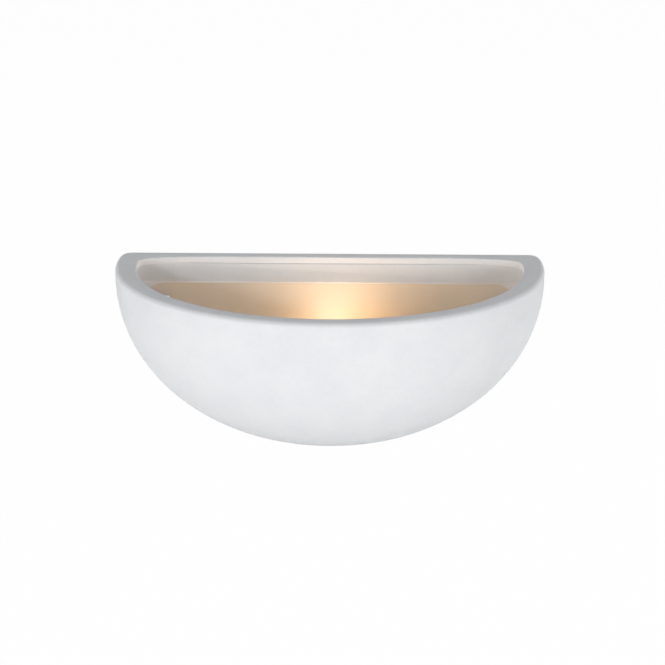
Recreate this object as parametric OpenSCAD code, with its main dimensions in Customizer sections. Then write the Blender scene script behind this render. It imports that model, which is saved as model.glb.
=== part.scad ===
// Uplighter wall sconce: an unglazed ceramic half bowl that hangs by two side screws on a
// steel back plate, with a small globe lamp in a screw lampholder hidden below the rim.
// Millimetres. +Z up, +Y into the wall, wall face at y = 0. The origin is the point on the
// wall midway between the two wall fixing slots.

/* [Bowl] */
// Overall width of the bowl
bowl_w = 300; // [285:1:320]
// Half depth of the bowl's ellipsoid, front to back
bowl_half_d = 105; // [98:1:115]
// Half height of the bowl's ellipsoid
bowl_half_h = 124; // [118:1:134]
// Distance from the wall to the bowl's widest section
bowl_set_out = 20; // [17:1:24]
// Drop from the rim to the bowl's widest section
widest_drop = 7; // [4:1:10]
// Wall thickness of the shell
shell_t = 8; // [6.5:0.5:9]
// Extra thickness that the shell gains towards its back edge
back_gain = 5; // [3:0.5:6]
// Radius of the rounded back edge
back_edge_r = 8; // [5:0.5:9]
// Radius of the rounded outer edge of the rim
rim_edge_r = 3; // [1.5:0.5:4]

/* [Rim opening] */
// Height of the inner lip below the rim
lip_h = 4.5; // [3:0.5:6]
// Reach of the lip over the cavity at the sides
lip_side = 7.2; // [4:0.2:9]
// Reach of the lip over the cavity at the front
lip_front = 1; // [0.6:0.2:3]
// Corner radius of the opening at the wall side
opening_corner_r = 16; // [10:1:20]

/* [Back bar] */
// Width of the bar's flat top
bar_top_t = 7.2; // [6:0.2:9]
// Reach of the bar from the wall at its lower edge
bar_reach = 12; // [10.5:0.5:15]
// Height of the bar
bar_h = 18.6; // [16:0.2:22]
// Radius of the bar's rounded lower face
bar_edge_r = 5; // [3:0.5:6]
// Radius of the corners where the bar meets the shell
gusset_r = 16; // [12:1:18]

/* [Hanging] */
// Height that the bowl is lifted to come off its plate
lift = 10; // [8:1:12]
// Diameter of the side screws
side_screw_d = 4; // [3.5:0.5:5]
// Drop from the rim to the side screws
side_screw_drop = 42; // [40:1:46]
// Distance from the wall to the side screws
side_screw_y = 16; // [14:1:18]
// Head diameter of the side screws
side_head_d = 7.6; // [7:0.2:9]
// Head height of the side screws
side_head_h = 2.6; // [2:0.2:3.2]
// Diameter of the bosses inside the bowl
boss_d = 14; // [13:1:16]
// Gap between a plain shank and its hole, all round
hole_fit = 0.25; // [0.15:0.05:0.4]
// Gap between flat faces that slide on each other
slide_fit = 0.3; // [0.2:0.05:0.5]
// Across flats of the side nuts
side_nut_af = 7; // [6.5:0.5:8]
// Thickness of the side nuts
side_nut_h = 3.2; // [2.6:0.2:4]
// Diameter of the side washers
side_washer_d = 9; // [8:0.5:10]
// Thickness of the side washers
side_washer_t = 0.8; // [0.5:0.1:1.2]

/* [Back plate] */
// Thickness of the back plate
plate_t = 1.2; // [1:0.1:1.5]
// Running gap between the plate's lower outline and the cavity
plate_gap = 5.6; // [4.5:0.2:7]
// Gap between the plate's shoulders and the lifted cavity
shoulder_gap = 0.9; // [0.6:0.1:1.5]
// Drop from the rim to the plate's top edge
plate_top_drop = 10; // [9:0.5:12]
// Reach of the two side flanges from the wall
flange_reach = 25; // [24:1:28]
// Height of the two side flanges
flange_h = 18; // [16:1:20]
// Drop from the rim to the wall fixing slots
fix_drop = 72; // [68:1:76]
// Distance from the bowl's side to each wall fixing slot
slot_inset = 70; // [67:1:80]
// Width of the wall fixing slots
slot_w = 5; // [4:0.5:6]
// Length of the wall fixing slots
slot_l = 12; // [9:1:14]

/* [Cable entry] */
// Distance of the cable entry from the centre line
entry_x = -48; // [-54:1:-44]
// Drop from the rim to the cable entry
entry_drop = 59; // [58:0.5:60]
// Bore of the grommet
grommet_bore = 9; // [7:0.5:10]
// Wall of the grommet's neck
grommet_wall = 2.5; // [1.5:0.25:3]
// Overhang of the grommet's flange
grommet_flange = 2; // [1:0.25:2.5]
// Thickness of the grommet's flange
grommet_flange_t = 1.5; // [1:0.25:2.5]

/* [Lamp] */
// Diameter of the lamp's globe
globe_d = 45; // [40:1:46]
// Length of the lamp's cap
cap_l = 21.5; // [20:0.5:23]
// Length of the lamp's neck between the globe and the cap
neck_l = 7; // [6:0.5:8]
// Distance from the wall to the lamp's axis
lamp_y = 44; // [42:1:48]
// Drop from the rim to the lamp's axis
lamp_drop = 58; // [57:1:60]
// Thickness of the globe's glass
glass_t = 0.8; // [0.6:0.1:1.2]
// Diameter of the lamp cap over its thread
cap_d = 13.9; // [13.5:0.1:14.2]
// Depth of the lamp cap's thread, crest to root on a diameter
thread_depth = 0.8; // [0.6:0.1:1]
// Pitch of the lamp cap's thread
thread_pitch = 2.822; // [2.5:0.001:3]
// Gap between the lamp cap and the holder's screw shell, all round
thread_fit = 0.3; // [0.25:0.05:0.4]
// Turns of the lamp from fully home to free
thread_turns = 3.5; // [3:0.5:4]

/* [Lampholder] */
// Diameter of the lampholder
holder_d = 28; // [27:0.5:30]
// Wall of the lampholder's sleeve
holder_wall = 1.8; // [1.5:0.1:2.2]
// Thickness of the brass in the screw shell
screw_shell_t = 0.4; // [0.3:0.05:0.6]
// Thickness of the holder's bracket
bracket_t = 1.5; // [1.2:0.1:2]
// Width of the bracket's arm
bracket_w = 17; // [15:1:18]
// Outer diameter of the threaded nipple
nipple_d = 10; // [9:0.5:11]
// Bore of the threaded nipple
nipple_bore = 7; // [6.6:0.2:7.6]
// Across flats of the nipple's nut
nipple_nut_af = 14; // [13:0.5:15]
// Thickness of the nipple's nut
nipple_nut_h = 4; // [3:0.25:5]

/* [Terminal block] */
// Distance of the block's middle from the centre line
block_x = -48; // [-49:0.5:-47]
// Drop from the rim to the block's top
block_drop = 71; // [70.5:0.5:71.5]
// Pitch of the block's poles
pole_pitch = 12; // [11.8:0.1:12.2]
// Length of the block along its wire ways
block_l = 17; // [16.5:0.5:17]
// Depth of the block from the plate
block_depth = 13; // [12:0.5:15]
// Diameter of the brass inserts
insert_d = 5; // [4.4:0.2:5.6]
// Bore of the brass inserts
insert_bore = 3; // [2.8:0.1:3.2]
// Diameter of the internal leads
lead_d = 2.4; // [2.2:0.1:2.6]

/* [Earth stud] */
// Distance of the earth stud from the centre line
earth_x = -2; // [-3:0.5:0]
// Drop from the rim to the earth stud
earth_drop = 84; // [83.5:0.5:84.5]
// Diameter of the earth stud
earth_d = 4; // [3.5:0.5:4.5]

/* [Hidden] */

$fn = 64;
smooth = 96;        // facets round the large curves
eps = 0.01;         // overlap of joined forms
over = 1;           // overshoot of a cut
far = 400;          // larger than the whole object
seat_fit = 0.05;    // gap of a part that is pressed or cemented in, all round
insert_fit = 0.15;  // gap of a part that drops in, all round

// Bowl, outer ellipsoid and cavity ellipsoid
rim_z = fix_drop;                        // height of the rim above the fixing slots
mid_z = rim_z - widest_drop;             // height of the widest section
out_a = bowl_w / 2;
cav_set_out = bowl_set_out + back_gain;
cav_a = out_a - shell_t;
cav_b = bowl_half_d - shell_t - back_gain;
cav_c = bowl_half_h - shell_t;
open_a = cav_a - lip_side;
open_b = cav_b - lip_front;

// Half width of an ellipsoid (a, b, c, set out s) at depth y and height z
function ell_x(a, b, c, s, y, z) =
    a * sqrt(max(0, 1 - pow((y + s) / b, 2) - pow((z - mid_z) / c, 2)));
function out_x(y, z) = ell_x(out_a, bowl_half_d, bowl_half_h, bowl_set_out, y, z);
function cav_x(y, z) = ell_x(cav_a, cav_b, cav_c, cav_set_out, y, z);

// The cavity's outline where it meets the wall
wall_k = sqrt(1 - pow(cav_set_out / cav_b, 2));
wall_a = cav_a * wall_k;
wall_c = cav_c * wall_k;

// Back plate
plate_a = wall_a - plate_gap;
plate_c = wall_c - lift - plate_gap;
screw_z = rim_z - side_screw_drop;
flange_top = screw_z + lift - side_screw_d / 2;
flange_bottom = flange_top - flange_h;
relief_w = 1.2;                          // width of the relief cut beside a bend
shoulder_z = flange_top + relief_w;
shoulder_x = cav_x(0, shoulder_z - lift) - shoulder_gap;
flange_x = plate_a * sqrt(1 - pow((flange_bottom - relief_w - mid_z) / plate_c, 2));
bend_r = 1.6;                            // radius inside the flange's bend
rebate_fit = 0.8;                        // gap between the plate and the bar in front of it
rebate_d = plate_t + rebate_fit;         // depth of the rebate behind the bar
rebate_z = rim_z - plate_top_drop + 1.5; // top of that rebate
boss_x = flange_x + slide_fit;
head_sink = 0.4;                         // depth of a side screw's head below the bowl's face
head_x = out_x(-side_screw_y, screw_z) - side_head_h - head_sink;
side_slot_w = 1;
side_slot_h = 1.2;
washer_x = flange_x - plate_t - slide_fit;
nut_x = washer_x - side_washer_t;
screw_tail = 1.6;                        // thread that shows past a nut

// Lamp: places along its axis, from the globe's centre
globe_r = globe_d / 2;
lamp_z = rim_z - lamp_drop;
cap_start = globe_r + neck_l;
cap_end = cap_start + cap_l;
insulator_h = 3;
tip_h = 1.5;
tip_x = cap_end + insulator_h + tip_h;
thread_r = cap_d / 2 - thread_depth / 2; // radius of the eccentric circle that forms the thread
thread_ecc = thread_depth / 2;
thread_l = 13;
thread_start = cap_end - thread_l;
neck_r = cap_d / 2 - thread_depth - 0.4;
collar_r = cap_d / 2 + 0.2;              // plain part of the cap, between thread and globe
tip_r = 2.2;
turn_fit = 0.05;                         // running gap between the contact tip and the insulator
tip_pin_r = 0.8;
stem_start = 8;
stem_r = 1.4;
filament_x = -3;
filament_l = 9;
filament_r = 0.5;
support_r = 0.25;

// Lampholder: places along the same axis
contact_t = 0.5;
contact_gap = 0.2;
floor_x = tip_x + contact_gap + contact_t;
shell_r = thread_r + thread_fit;
shell_out_r = shell_r + thread_ecc + screw_shell_t;
shell_end = cap_end + 0.4;
shell_l = thread_turns * thread_pitch + shell_end - cap_end;
shell_start = shell_end - shell_l;
shell_phase = 360 * (shell_start - thread_start) / thread_pitch;
strip_w = 2.5;                           // strip from the screw shell back to its clamp
strip_t = 0.5;
strip_r = shell_out_r - strip_t;
core_bore_r = shell_out_r + insert_fit;
core_lip = 0.6;                          // insert in front of the screw shell
core_tail = 7.8;                         // insert behind the centre contact
core_fit = 0.2;
core_start = shell_start - core_lip;
core_end = floor_x + core_tail;
core_r = holder_d / 2 - holder_wall - core_fit;
contact_w = 5;
contact_l = 8;
contact_pin_r = 0.95;
clamp_r = 2.2;
clamp_off = 6;                           // clamps lie this far above and below the axis
clamp_l = 6.5;
clamp_mid = core_end - clamp_l / 2;
strip_l = core_end - clamp_l - shell_end;
clamp_screw_r = 1.1;
clamp_head_r = 1.8;
clamp_head_h = 1.5;
wire_room = 6;                           // room behind the insert for the leads
base_in = core_end + wire_room;
base_wall = 2;
base_end = base_in + base_wall;
mouth_gap = 0.8;                         // from the cap's front edge back to the sleeve
sleeve_start = cap_start + mouth_gap;
core_cover = 14;                         // part of the insert that the sleeve covers
joint_x = core_start + core_cover;       // where the sleeve meets the rear cup
seat_w = 1.8;
seat_r = core_r - seat_w;                // inner radius of the two shoulders round the insert
shoulder_t = 2;
bore_wall_r = holder_d / 2 - holder_wall;
mouth_r = cap_d / 2 + 1.6;               // opening of the sleeve round the lamp cap
sleeve_edge = 1.2;
base_edge = 1.5;
bracket_x = base_end;
disc_r = nipple_nut_af / 2 + 5;          // round end of the bracket's arm
nipple_in = 0.5;
nipple_out = 2;
nipple_start = base_in - nipple_in;
nipple_washer_t = 0.8;
nut_start = bracket_x + bracket_t + nipple_washer_t;
nipple_end = nut_start + nipple_nut_h + nipple_out;
foot_l = 22;
arm_top = lamp_z + bracket_w / 2;
arm_bottom = arm_top - bracket_w;
rivet_r = 1.6;
rivet_head_r = 3;
rivet_dome_r = 3.5;
rivet_head_h = 1.4;
rivet_x = bracket_x - foot_l * 0.6;
rivet_places = [arm_bottom + bracket_w * 0.25, arm_bottom + bracket_w * 0.75];

// Terminal block and earth
block_top = rim_z - block_drop;
block_mid = block_top - block_l / 2;
pole_y = -plate_t - block_depth / 2 - 0.8;
pole_r = 4.6;
poles = [for (i = [-1 : 1]) block_x + i * pole_pitch];
tower_r = 3.1;
tower_bore_r = 2;
insert_l = block_l - 2;
clamp_pitch = 8;
term_screw_r = 1.2;
term_screw_l = 2.6;
term_head_r = 1.8;
term_head_h = 1.8;
block_base_h = 3;
block_screw_r = 1.4;
block_screw_places = [for (side = [-1, 1]) block_x + side * pole_pitch / 2];
block_head_r = 1.45;
block_head_h = 1.6;
slot_cut_w = 0.8;                        // slots of the small screws
slot_cut_h = 0.7;
entry_z = rim_z - entry_drop;
earth_z = rim_z - earth_drop;
earth_stud_l = 11;
earth_washer_r = earth_d / 2 + 2.5;
earth_washer_t = 0.8;
earth_tag_t = 0.8;
earth_nut_h = 3.2;
earth_nut_af = 7;
earth_tag_y = -plate_t - earth_washer_t;
barrel_start = 4.5;
barrel_l = 6.5;
barrel_r = lead_d / 2 + 0.6;
barrel_y = earth_tag_y - 2;
barrel_x = earth_x - barrel_start - barrel_l;
tongue_w = 3.2;                          // tongue between the tag's ring and its barrel

// Routes of the internal leads: points chosen by hand between the ends they are tied to
block_exit = block_top - block_l;
live_z = lamp_z + clamp_off;
neutral_z = lamp_z - clamp_off;
live_route = [[block_x - pole_pitch, pole_y, block_exit], [-60, -8.6, -19.5], [-56, -9, -23.5],
    [-46, -9, -25.5], [-30, -9, -26], [0, -9, -25], [30, -9, -21], [52, -12, -15],
    [nipple_end - 10, -20, -9], [nipple_end + 4, -32, -2],
    [nipple_end + 11, -40, 6], [nipple_end + 9.7, 0.5 - lamp_y, 13],
    [nipple_end + 2.5, -lamp_y, lamp_z + 1.6], [base_end, -lamp_y, lamp_z + 1.6],
    [base_in - 1.5, -lamp_y, lamp_z + 2.4], [core_end + 1.5, -lamp_y, live_z - 0.4],
    [core_end - 1, -lamp_y, live_z]];
neutral_route = [[block_x, pole_y, block_exit], [-48, -8.6, -18], [-44.5, -9, -21.5],
    [-36, -9, -22.8], [-18, -9, -22.6], [0, -9, -21.6], [29, -9, -17.7], [50, -12, -11.8],
    [nipple_end - 13, -20, -5.8], [nipple_end - 0.5, -31, 0.5],
    [nipple_end + 6.2, -39, 6], [nipple_end + 5.7, 0.5 - lamp_y, 10.5],
    [nipple_end + 2.5, -lamp_y, lamp_z - 1.6], [base_end, -lamp_y, lamp_z - 1.6],
    [base_in - 1.5, -lamp_y, lamp_z - 2.4], [core_end + 1.5, -lamp_y, neutral_z + 0.4],
    [core_end - 1, -lamp_y, neutral_z]];
earth_route = [[block_x + pole_pitch, pole_y, block_exit], [-36, -8.6, -17.8],
    [-33, -8.3, -19.3], [-27, -7.5, -18.4], [-21, -6, -15.4], [-17, -4.6, -12.8],
    [barrel_x + 1, barrel_y, earth_z]];

// ---- helpers -------------------------------------------------------------------------

// Ellipsoid with semi-axes a, b, c
module ellipsoid(a, b, c) scale([a, b, c]) sphere(r = 1, $fn = smooth);

// Everything below z
module below(z) translate([-far / 2, -far / 2, z - far]) cube(far);

// Turns children that stand on +Z to lie along +X on the lamp's axis, starting at x
module on_axis(x) translate([x, -lamp_y, lamp_z]) rotate([0, 90, 0]) children();

// Children stand on the plate and point away from the wall
module off_wall(x, z, y = 0) translate([x, y, z]) rotate([90, 0, 0]) children();

// Copies children to both sides
module both_sides() {
    children();
    mirror([1, 0, 0]) children();
}

module tube(r_out, r_in, h) difference() {
    cylinder(r = r_out, h = h);
    translate([0, 0, -eps]) cylinder(r = r_in, h = h + 2 * eps);
}

module hex_nut(af, h, bore_r) difference() {
    cylinder(r = af / sqrt(3), h = h, $fn = 6);
    translate([0, 0, -eps]) cylinder(r = bore_r, h = h + 2 * eps);
}

// Right-hand rounded thread: a circle whose centre climbs round the axis
module thread_rod(r, h, phase) {
    sides = 24;
    rings_per_turn = 10;
    rings = ceil(h / thread_pitch * rings_per_turn);
    points = [for (i = [0 : rings])
        let (z = h * i / rings, turn = phase + 360 * z / thread_pitch)
        for (k = [0 : sides - 1])
            [thread_ecc * cos(turn) + r * cos(360 * k / sides),
                thread_ecc * sin(turn) + r * sin(360 * k / sides), z]];
    polyhedron(points = points, faces = tube_faces(rings + 1, sides));
}

// Faces of a closed tube of n rings, whose points run counter-clockwise seen from its end
function tube_faces(n, sides) = concat(
    [[for (k = [0 : sides - 1]) k]],
    [for (i = [0 : n - 2]) for (k = [0 : sides - 1])
        let (a = i * sides + k, b = i * sides + (k + 1) % sides)
        each [[a, a + sides, b], [b, a + sides, b + sides]]],
    [[for (k = [sides - 1 : -1 : 0]) (n - 1) * sides + k]]);

// Point on a smooth curve through p[i] and p[i + 1] at t from 0 to 1
function curve_at(p, i, t) =
    let (n = len(p) - 1, a = p[max(0, i - 1)], b = p[i], c = p[i + 1], d = p[min(n, i + 2)])
    0.5 * (2 * b + (c - a) * t + (2 * a - 5 * b + 4 * c - d) * t * t
        + (3 * b - a - 3 * c + d) * t * t * t);

// Points along the whole curve, `steps` to each stretch
function curve_points(p, steps) = concat(
    [for (i = [0 : len(p) - 2]) for (j = [0 : steps - 1]) curve_at(p, i, j / steps)],
    [p[len(p) - 1]]);

// Round lead along a route, as rings of 8 points square to the curve
module lead(route, first, last) {
    sides = 8;
    steps = 4;
    p = curve_points(route, steps);
    n = len(p);
    tangent = [for (i = [0 : n - 1])
        i == 0 ? first : i == n - 1 ? last : p[i + 1] - p[i - 1]];
    ring = [for (i = [0 : n - 1])
        let (t = tangent[i] / norm(tangent[i]), s = cross([0.1, -1, 0.05], t),
            u = s / norm(s), v = cross(t, u))
        for (k = [0 : sides - 1])
            p[i] + lead_d / 2 * (cos(360 * k / sides) * u + sin(360 * k / sides) * v)];
    polyhedron(points = ring, faces = tube_faces(n, sides));
}

// ---- bowl ----------------------------------------------------------------------------

// The outer form: ellipsoid cut level at the rim and flat at the wall, both edges rounded
module bowl_outer() difference() {
    intersection() {
        translate([0, -bowl_set_out, mid_z]) ellipsoid(out_a, bowl_half_d, bowl_half_h);
        translate([-far / 2, -far, rim_z - far]) cube(far);
    }
    rim_round();
    back_round();
}

// Rounds the outer edge of the rim
module rim_round() {
    k = sqrt(1 - pow((widest_drop - rim_edge_r) / bowl_half_h, 2));
    translate([0, -bowl_set_out, rim_z]) scale([1, bowl_half_d / out_a, 1])
        rotate_extrude($fn = smooth) translate([out_a * k - rim_edge_r, -rim_edge_r])
            edge_cut(rim_edge_r);
}

// Rounds the edge that meets the wall
module back_round() {
    k = sqrt(1 - pow(bowl_set_out / bowl_half_d, 2));
    slope = out_a * bowl_set_out / (bowl_half_d * bowl_half_d * k);
    tuck = back_edge_r * (sqrt(1 + slope * slope) - slope);
    translate([0, 0, mid_z]) scale([1, 1, bowl_half_h / out_a]) rotate([-90, 0, 0])
        rotate_extrude($fn = smooth) translate([out_a * k - tuck, -back_edge_r])
            edge_cut(back_edge_r);
}

// What lies outside a quarter round of radius r
module edge_cut(r) difference() {
    square(2 * r);
    circle(r = r * 1.004);
}

// Plan of the opening: half an ellipse in front, round corners by the wall
module opening_plan() {
    corner_y = -bar_top_t - opening_corner_r;
    corner_x = open_a - opening_corner_r;
    intersection() {
        translate([0, -cav_set_out]) scale([open_a, open_b]) circle(r = 1, $fn = smooth);
        translate([-far / 2, -far - cav_set_out]) square(far);
    }
    translate([-corner_x, -cav_set_out - over])
        square([2 * corner_x, cav_set_out + over - bar_top_t]);
    translate([-open_a, -cav_set_out - seat_fit])
        square([2 * open_a, cav_set_out + seat_fit + corner_y]);
    for (side = [-1, 1]) translate([side * corner_x, corner_y])
        circle(r = opening_corner_r);
}

// Side view of the bar along the wall: flat top, lip, and a sloping face that runs on, along
// its tangent, into the rounded lower face
module bar_side() {
    lip = [-bar_top_t, -lip_h];
    centre = [-bar_reach + bar_edge_r, -bar_h + bar_edge_r];
    step = centre - lip;
    slope = atan2(step.y, step.x) - asin(bar_edge_r / norm(step));
    slope_l = sqrt(step * step - bar_edge_r * bar_edge_r);
    difference() {
        union() {
            polygon([[over, over], [-bar_top_t, over], lip,
                lip + slope_l * [cos(slope), sin(slope)],
                centre, [centre.x, -bar_h], [over, -bar_h]]);
            translate(centre) circle(r = bar_edge_r);
        }
        translate([-rebate_d, rebate_z - rim_z - far]) square([far, far]);
    }
}

// The space inside the shell, with the bar and its corner gussets left standing
module cavity() difference() {
    intersection() {
        translate([0, -cav_set_out, mid_z]) ellipsoid(cav_a, cav_b, cav_c);
        below(rim_z - lip_h);
    }
    translate([-far / 2, 0, rim_z]) rotate([90, 0, 90])
        linear_extrude(height = far) bar_side();
    both_sides() gusset();
}

// Fills the corner between the bar and the shell's side, with a hollow round face
module gusset() {
    corner_z = rim_z - bar_h - gusset_r;
    corner_x = cav_x(0, corner_z) - gusset_r;
    difference() {
        translate([corner_x, -bar_reach + bar_edge_r, corner_z])
            cube([2 * gusset_r, bar_reach - bar_edge_r + over, gusset_r + over]);
        off_wall(corner_x, corner_z, 2 * over) cylinder(r = gusset_r, h = bar_reach + 4 * over);
        rear_rebate();
    }
}

// Room for the plate's upper edge behind the bar and the gussets
module rear_rebate() {
    rebate_x = shoulder_x + shoulder_gap - insert_fit;
    low_z = shoulder_z - lift;
    translate([-rebate_x, -rebate_d, low_z]) cube([2 * rebate_x, far, rebate_z - low_z]);
}

module side_boss() {
    translate([boss_x, -side_screw_y, screw_z]) rotate([0, 90, 0])
        cylinder(r = boss_d / 2, h = out_a - boss_x);
}

module side_screw_hole() translate([0, -side_screw_y, screw_z]) rotate([0, 90, 0]) {
    cylinder(r = side_screw_d / 2 + hole_fit, h = out_a + over);
    translate([0, 0, head_x]) cylinder(r = side_head_d / 2 + hole_fit, h = far);
}

module bowl_shell() color("white") difference() {
    bowl_outer();
    difference() {
        cavity();
        both_sides() side_boss();
    }
    translate([0, 0, rim_z - lip_h - over])
        linear_extrude(height = lip_h + 2 * over) opening_plan();
    both_sides() side_screw_hole();
}

// ---- hanging screws ------------------------------------------------------------------

module side_screw() translate([0, -side_screw_y, screw_z]) rotate([0, 90, 0]) {
    difference() {
        translate([0, 0, head_x]) cylinder(r = side_head_d / 2, h = side_head_h);
        translate([-side_head_d / 2, -side_slot_w / 2, head_x + side_head_h - side_slot_h])
            cube([side_head_d, side_slot_w, side_slot_h + over]);
    }
    tail_x = nut_x - side_nut_h - screw_tail;
    translate([0, 0, tail_x]) cylinder(r = side_screw_d / 2, h = head_x - tail_x + eps);
}

module side_screws() color("white") both_sides() side_screw();

module side_washers() color("silver") both_sides()
    translate([nut_x, -side_screw_y, screw_z]) rotate([0, 90, 0])
        tube(side_washer_d / 2, side_screw_d / 2 + hole_fit, side_washer_t);

module side_nuts() color("silver") both_sides()
    translate([nut_x - side_nut_h, -side_screw_y, screw_z]) rotate([0, 90, 0])
        hex_nut(side_nut_af, side_nut_h, side_screw_d / 2);

// ---- back plate ----------------------------------------------------------------------

module plate_outline() {
    top_z = rim_z - plate_top_drop;
    difference() {
        union() {
            intersection() {
                translate([0, mid_z]) scale([plate_a, plate_c]) circle(r = 1, $fn = smooth);
                translate([-far / 2, shoulder_z - far]) square(far);
            }
            translate([-shoulder_x, shoulder_z]) square([2 * shoulder_x, top_z - shoulder_z]);
        }
        both_sides() translate([flange_x, flange_bottom - relief_w])
            square([far, flange_h + 2 * relief_w]);
    }
}

// A flange bent forward from the plate's side, with a slot open to the top
module side_flange() {
    slot_r = side_screw_d / 2 + hole_fit;
    difference() {
        union() {
            translate([flange_x - plate_t, -flange_reach, flange_bottom])
                cube([plate_t, flange_reach, flange_h]);
            bend_fillet();
        }
        translate([flange_x - plate_t - over, -side_screw_y, screw_z]) rotate([0, 90, 0])
            cylinder(r = slot_r, h = plate_t + 2 * over);
        translate([flange_x - plate_t - over, -side_screw_y - slot_r, screw_z])
            cube([plate_t + 2 * over, 2 * slot_r, far]);
    }
}

// The inside of the bend
module bend_fillet() translate([flange_x - plate_t - bend_r, -plate_t - bend_r, flange_bottom])
    difference() {
        cube([bend_r + eps, bend_r + eps, flange_h]);
        translate([0, 0, -over]) cylinder(r = bend_r, h = flange_h + 2 * over);
    }

module wall_slot() off_wall(0, 0, over) linear_extrude(height = plate_t + 2 * over) {
    straight = slot_l - slot_w;
    square([straight, slot_w], center = true);
    for (end = [-1, 1]) translate([end * straight / 2, 0]) circle(r = slot_w / 2);
}

module plate_hole(x, z, r) off_wall(x, z, over) cylinder(r = r, h = plate_t + 2 * over);

module back_plate() color("gainsboro") {
    difference() {
        off_wall(0, 0) linear_extrude(height = plate_t) plate_outline();
        for (side = [-1, 1]) translate([side * (bowl_w / 2 - slot_inset), 0, 0]) wall_slot();
        plate_hole(entry_x, entry_z, grommet_bore / 2 + grommet_wall);
        plate_hole(earth_x, earth_z, earth_d / 2);
        for (x = block_screw_places) plate_hole(x, block_mid, block_screw_r);
        for (z = rivet_places) plate_hole(rivet_x, z, rivet_r);
    }
    both_sides() side_flange();
}

module cable_grommet() color("dimgray") off_wall(entry_x, entry_z) {
    neck_r = grommet_bore / 2 + grommet_wall;
    difference() {
        union() {
            cylinder(r = neck_r, h = plate_t + grommet_flange_t);
            translate([0, 0, plate_t]) cylinder(r = neck_r + grommet_flange, h = grommet_flange_t);
        }
        translate([0, 0, -over]) cylinder(r = grommet_bore / 2, h = far);
    }
}

// ---- terminal block ------------------------------------------------------------------

module terminal_block() color("ivory") difference() {
    union() {
        off_wall(block_x, block_mid, -plate_t)
            translate([-1.5 * pole_pitch, -block_l / 2, 0])
                cube([3 * pole_pitch, block_l, block_base_h]);
        for (x = poles) {
            translate([x, pole_y, block_exit]) cylinder(r = pole_r, h = block_l);
            translate([x - pole_r, pole_y, block_exit])
                cube([2 * pole_r, -plate_t - over - pole_y, block_l]);
            for (side = [-1, 1])
                off_wall(x, block_mid + side * clamp_pitch / 2, pole_y)
                    cylinder(r = tower_r, h = block_depth + plate_t + pole_y);
        }
    }
    for (x = poles) {
        translate([x, pole_y, block_exit - over])
            cylinder(r = insert_d / 2 + insert_fit, h = block_l + 2 * over);
        for (side = [-1, 1])
            off_wall(x, block_mid + side * clamp_pitch / 2, pole_y)
                cylinder(r = tower_bore_r, h = far);
    }
    for (x = block_screw_places) off_wall(x, block_mid, over)
        cylinder(r = block_screw_r + insert_fit, h = far);
}

module terminal_inserts() color("goldenrod") for (x = poles) difference() {
    translate([x, pole_y, block_mid - insert_l / 2]) cylinder(r = insert_d / 2, h = insert_l);
    translate([x, pole_y, block_exit - over]) cylinder(r = insert_bore / 2, h = far);
    for (side = [-1, 1])
        off_wall(x, block_mid + side * clamp_pitch / 2, pole_y)
            cylinder(r = term_screw_r, h = far);
}

module slotted_head(r, h) difference() {
    cylinder(r = r, h = h);
    translate([-slot_cut_w / 2, -r - over, h - slot_cut_h])
        cube([slot_cut_w, 2 * (r + over), slot_cut_h + over]);
}

module terminal_screws() color("goldenrod") for (x = poles) for (side = [-1, 1])
    off_wall(x, block_mid + side * clamp_pitch / 2, pole_y) {
        head_start = insert_d / 2 + 0.7;
        translate([0, 0, head_start - term_screw_l + eps])
            cylinder(r = term_screw_r, h = term_screw_l);
        translate([0, 0, head_start]) slotted_head(term_head_r, term_head_h);
    }

module block_screws() color("silver") for (x = block_screw_places) off_wall(x, block_mid) {
    cylinder(r = block_screw_r, h = plate_t + block_base_h + eps);
    translate([0, 0, plate_t + block_base_h]) slotted_head(block_head_r, block_head_h);
}

// ---- earth ---------------------------------------------------------------------------

module earth_stud() color("silver") off_wall(earth_x, earth_z)
    cylinder(r = earth_d / 2, h = earth_stud_l);

module earth_washer() color("silver") off_wall(earth_x, earth_z, -plate_t)
    tube(earth_washer_r, earth_d / 2 + insert_fit, earth_washer_t);

module earth_tag() color("silver") {
    off_wall(earth_x, earth_z, earth_tag_y)
        tube(earth_washer_r, earth_d / 2 + insert_fit, earth_tag_t);
    tongue_l = barrel_start - earth_d / 2 - insert_fit;
    difference() {
        union() {
            translate([barrel_x, barrel_y, earth_z]) rotate([0, 90, 0])
                cylinder(r = barrel_r, h = barrel_l);
            translate([earth_x - barrel_start - over, earth_tag_y - earth_tag_t,
                earth_z - tongue_w / 2]) cube([tongue_l, earth_tag_t, tongue_w]);
        }
        translate([barrel_x - over, barrel_y, earth_z]) rotate([0, 90, 0])
            cylinder(r = lead_d / 2 + insert_fit, h = barrel_l - over);
    }
}

module earth_nut() color("silver") off_wall(earth_x, earth_z, earth_tag_y - earth_tag_t)
    hex_nut(earth_nut_af, earth_nut_h, earth_d / 2);

module earth_lead() color("limegreen") lead(earth_route, [0, 0, -1], [1, 0, 0]);

module live_lead() color("saddlebrown") lead(live_route, [0, 0, -1], [-1, 0, 0]);

module neutral_lead() color("royalblue") lead(neutral_route, [0, 0, -1], [-1, 0, 0]);

// ---- lampholder ----------------------------------------------------------------------

module holder_bracket() color("silver") difference() {
    union() {
        translate([bracket_x, -lamp_y, arm_bottom]) cube([bracket_t, lamp_y - plate_t, bracket_w]);
        on_axis(bracket_x) cylinder(r = disc_r, h = bracket_t);
        translate([bracket_x - foot_l, -plate_t - bracket_t, arm_bottom])
            cube([foot_l + bracket_t, bracket_t, bracket_w]);
    }
    on_axis(bracket_x - over) cylinder(r = nipple_d / 2 + hole_fit, h = bracket_t + 2 * over);
    for (z = rivet_places) off_wall(rivet_x, z, over) cylinder(r = rivet_r, h = far);
}

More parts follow.
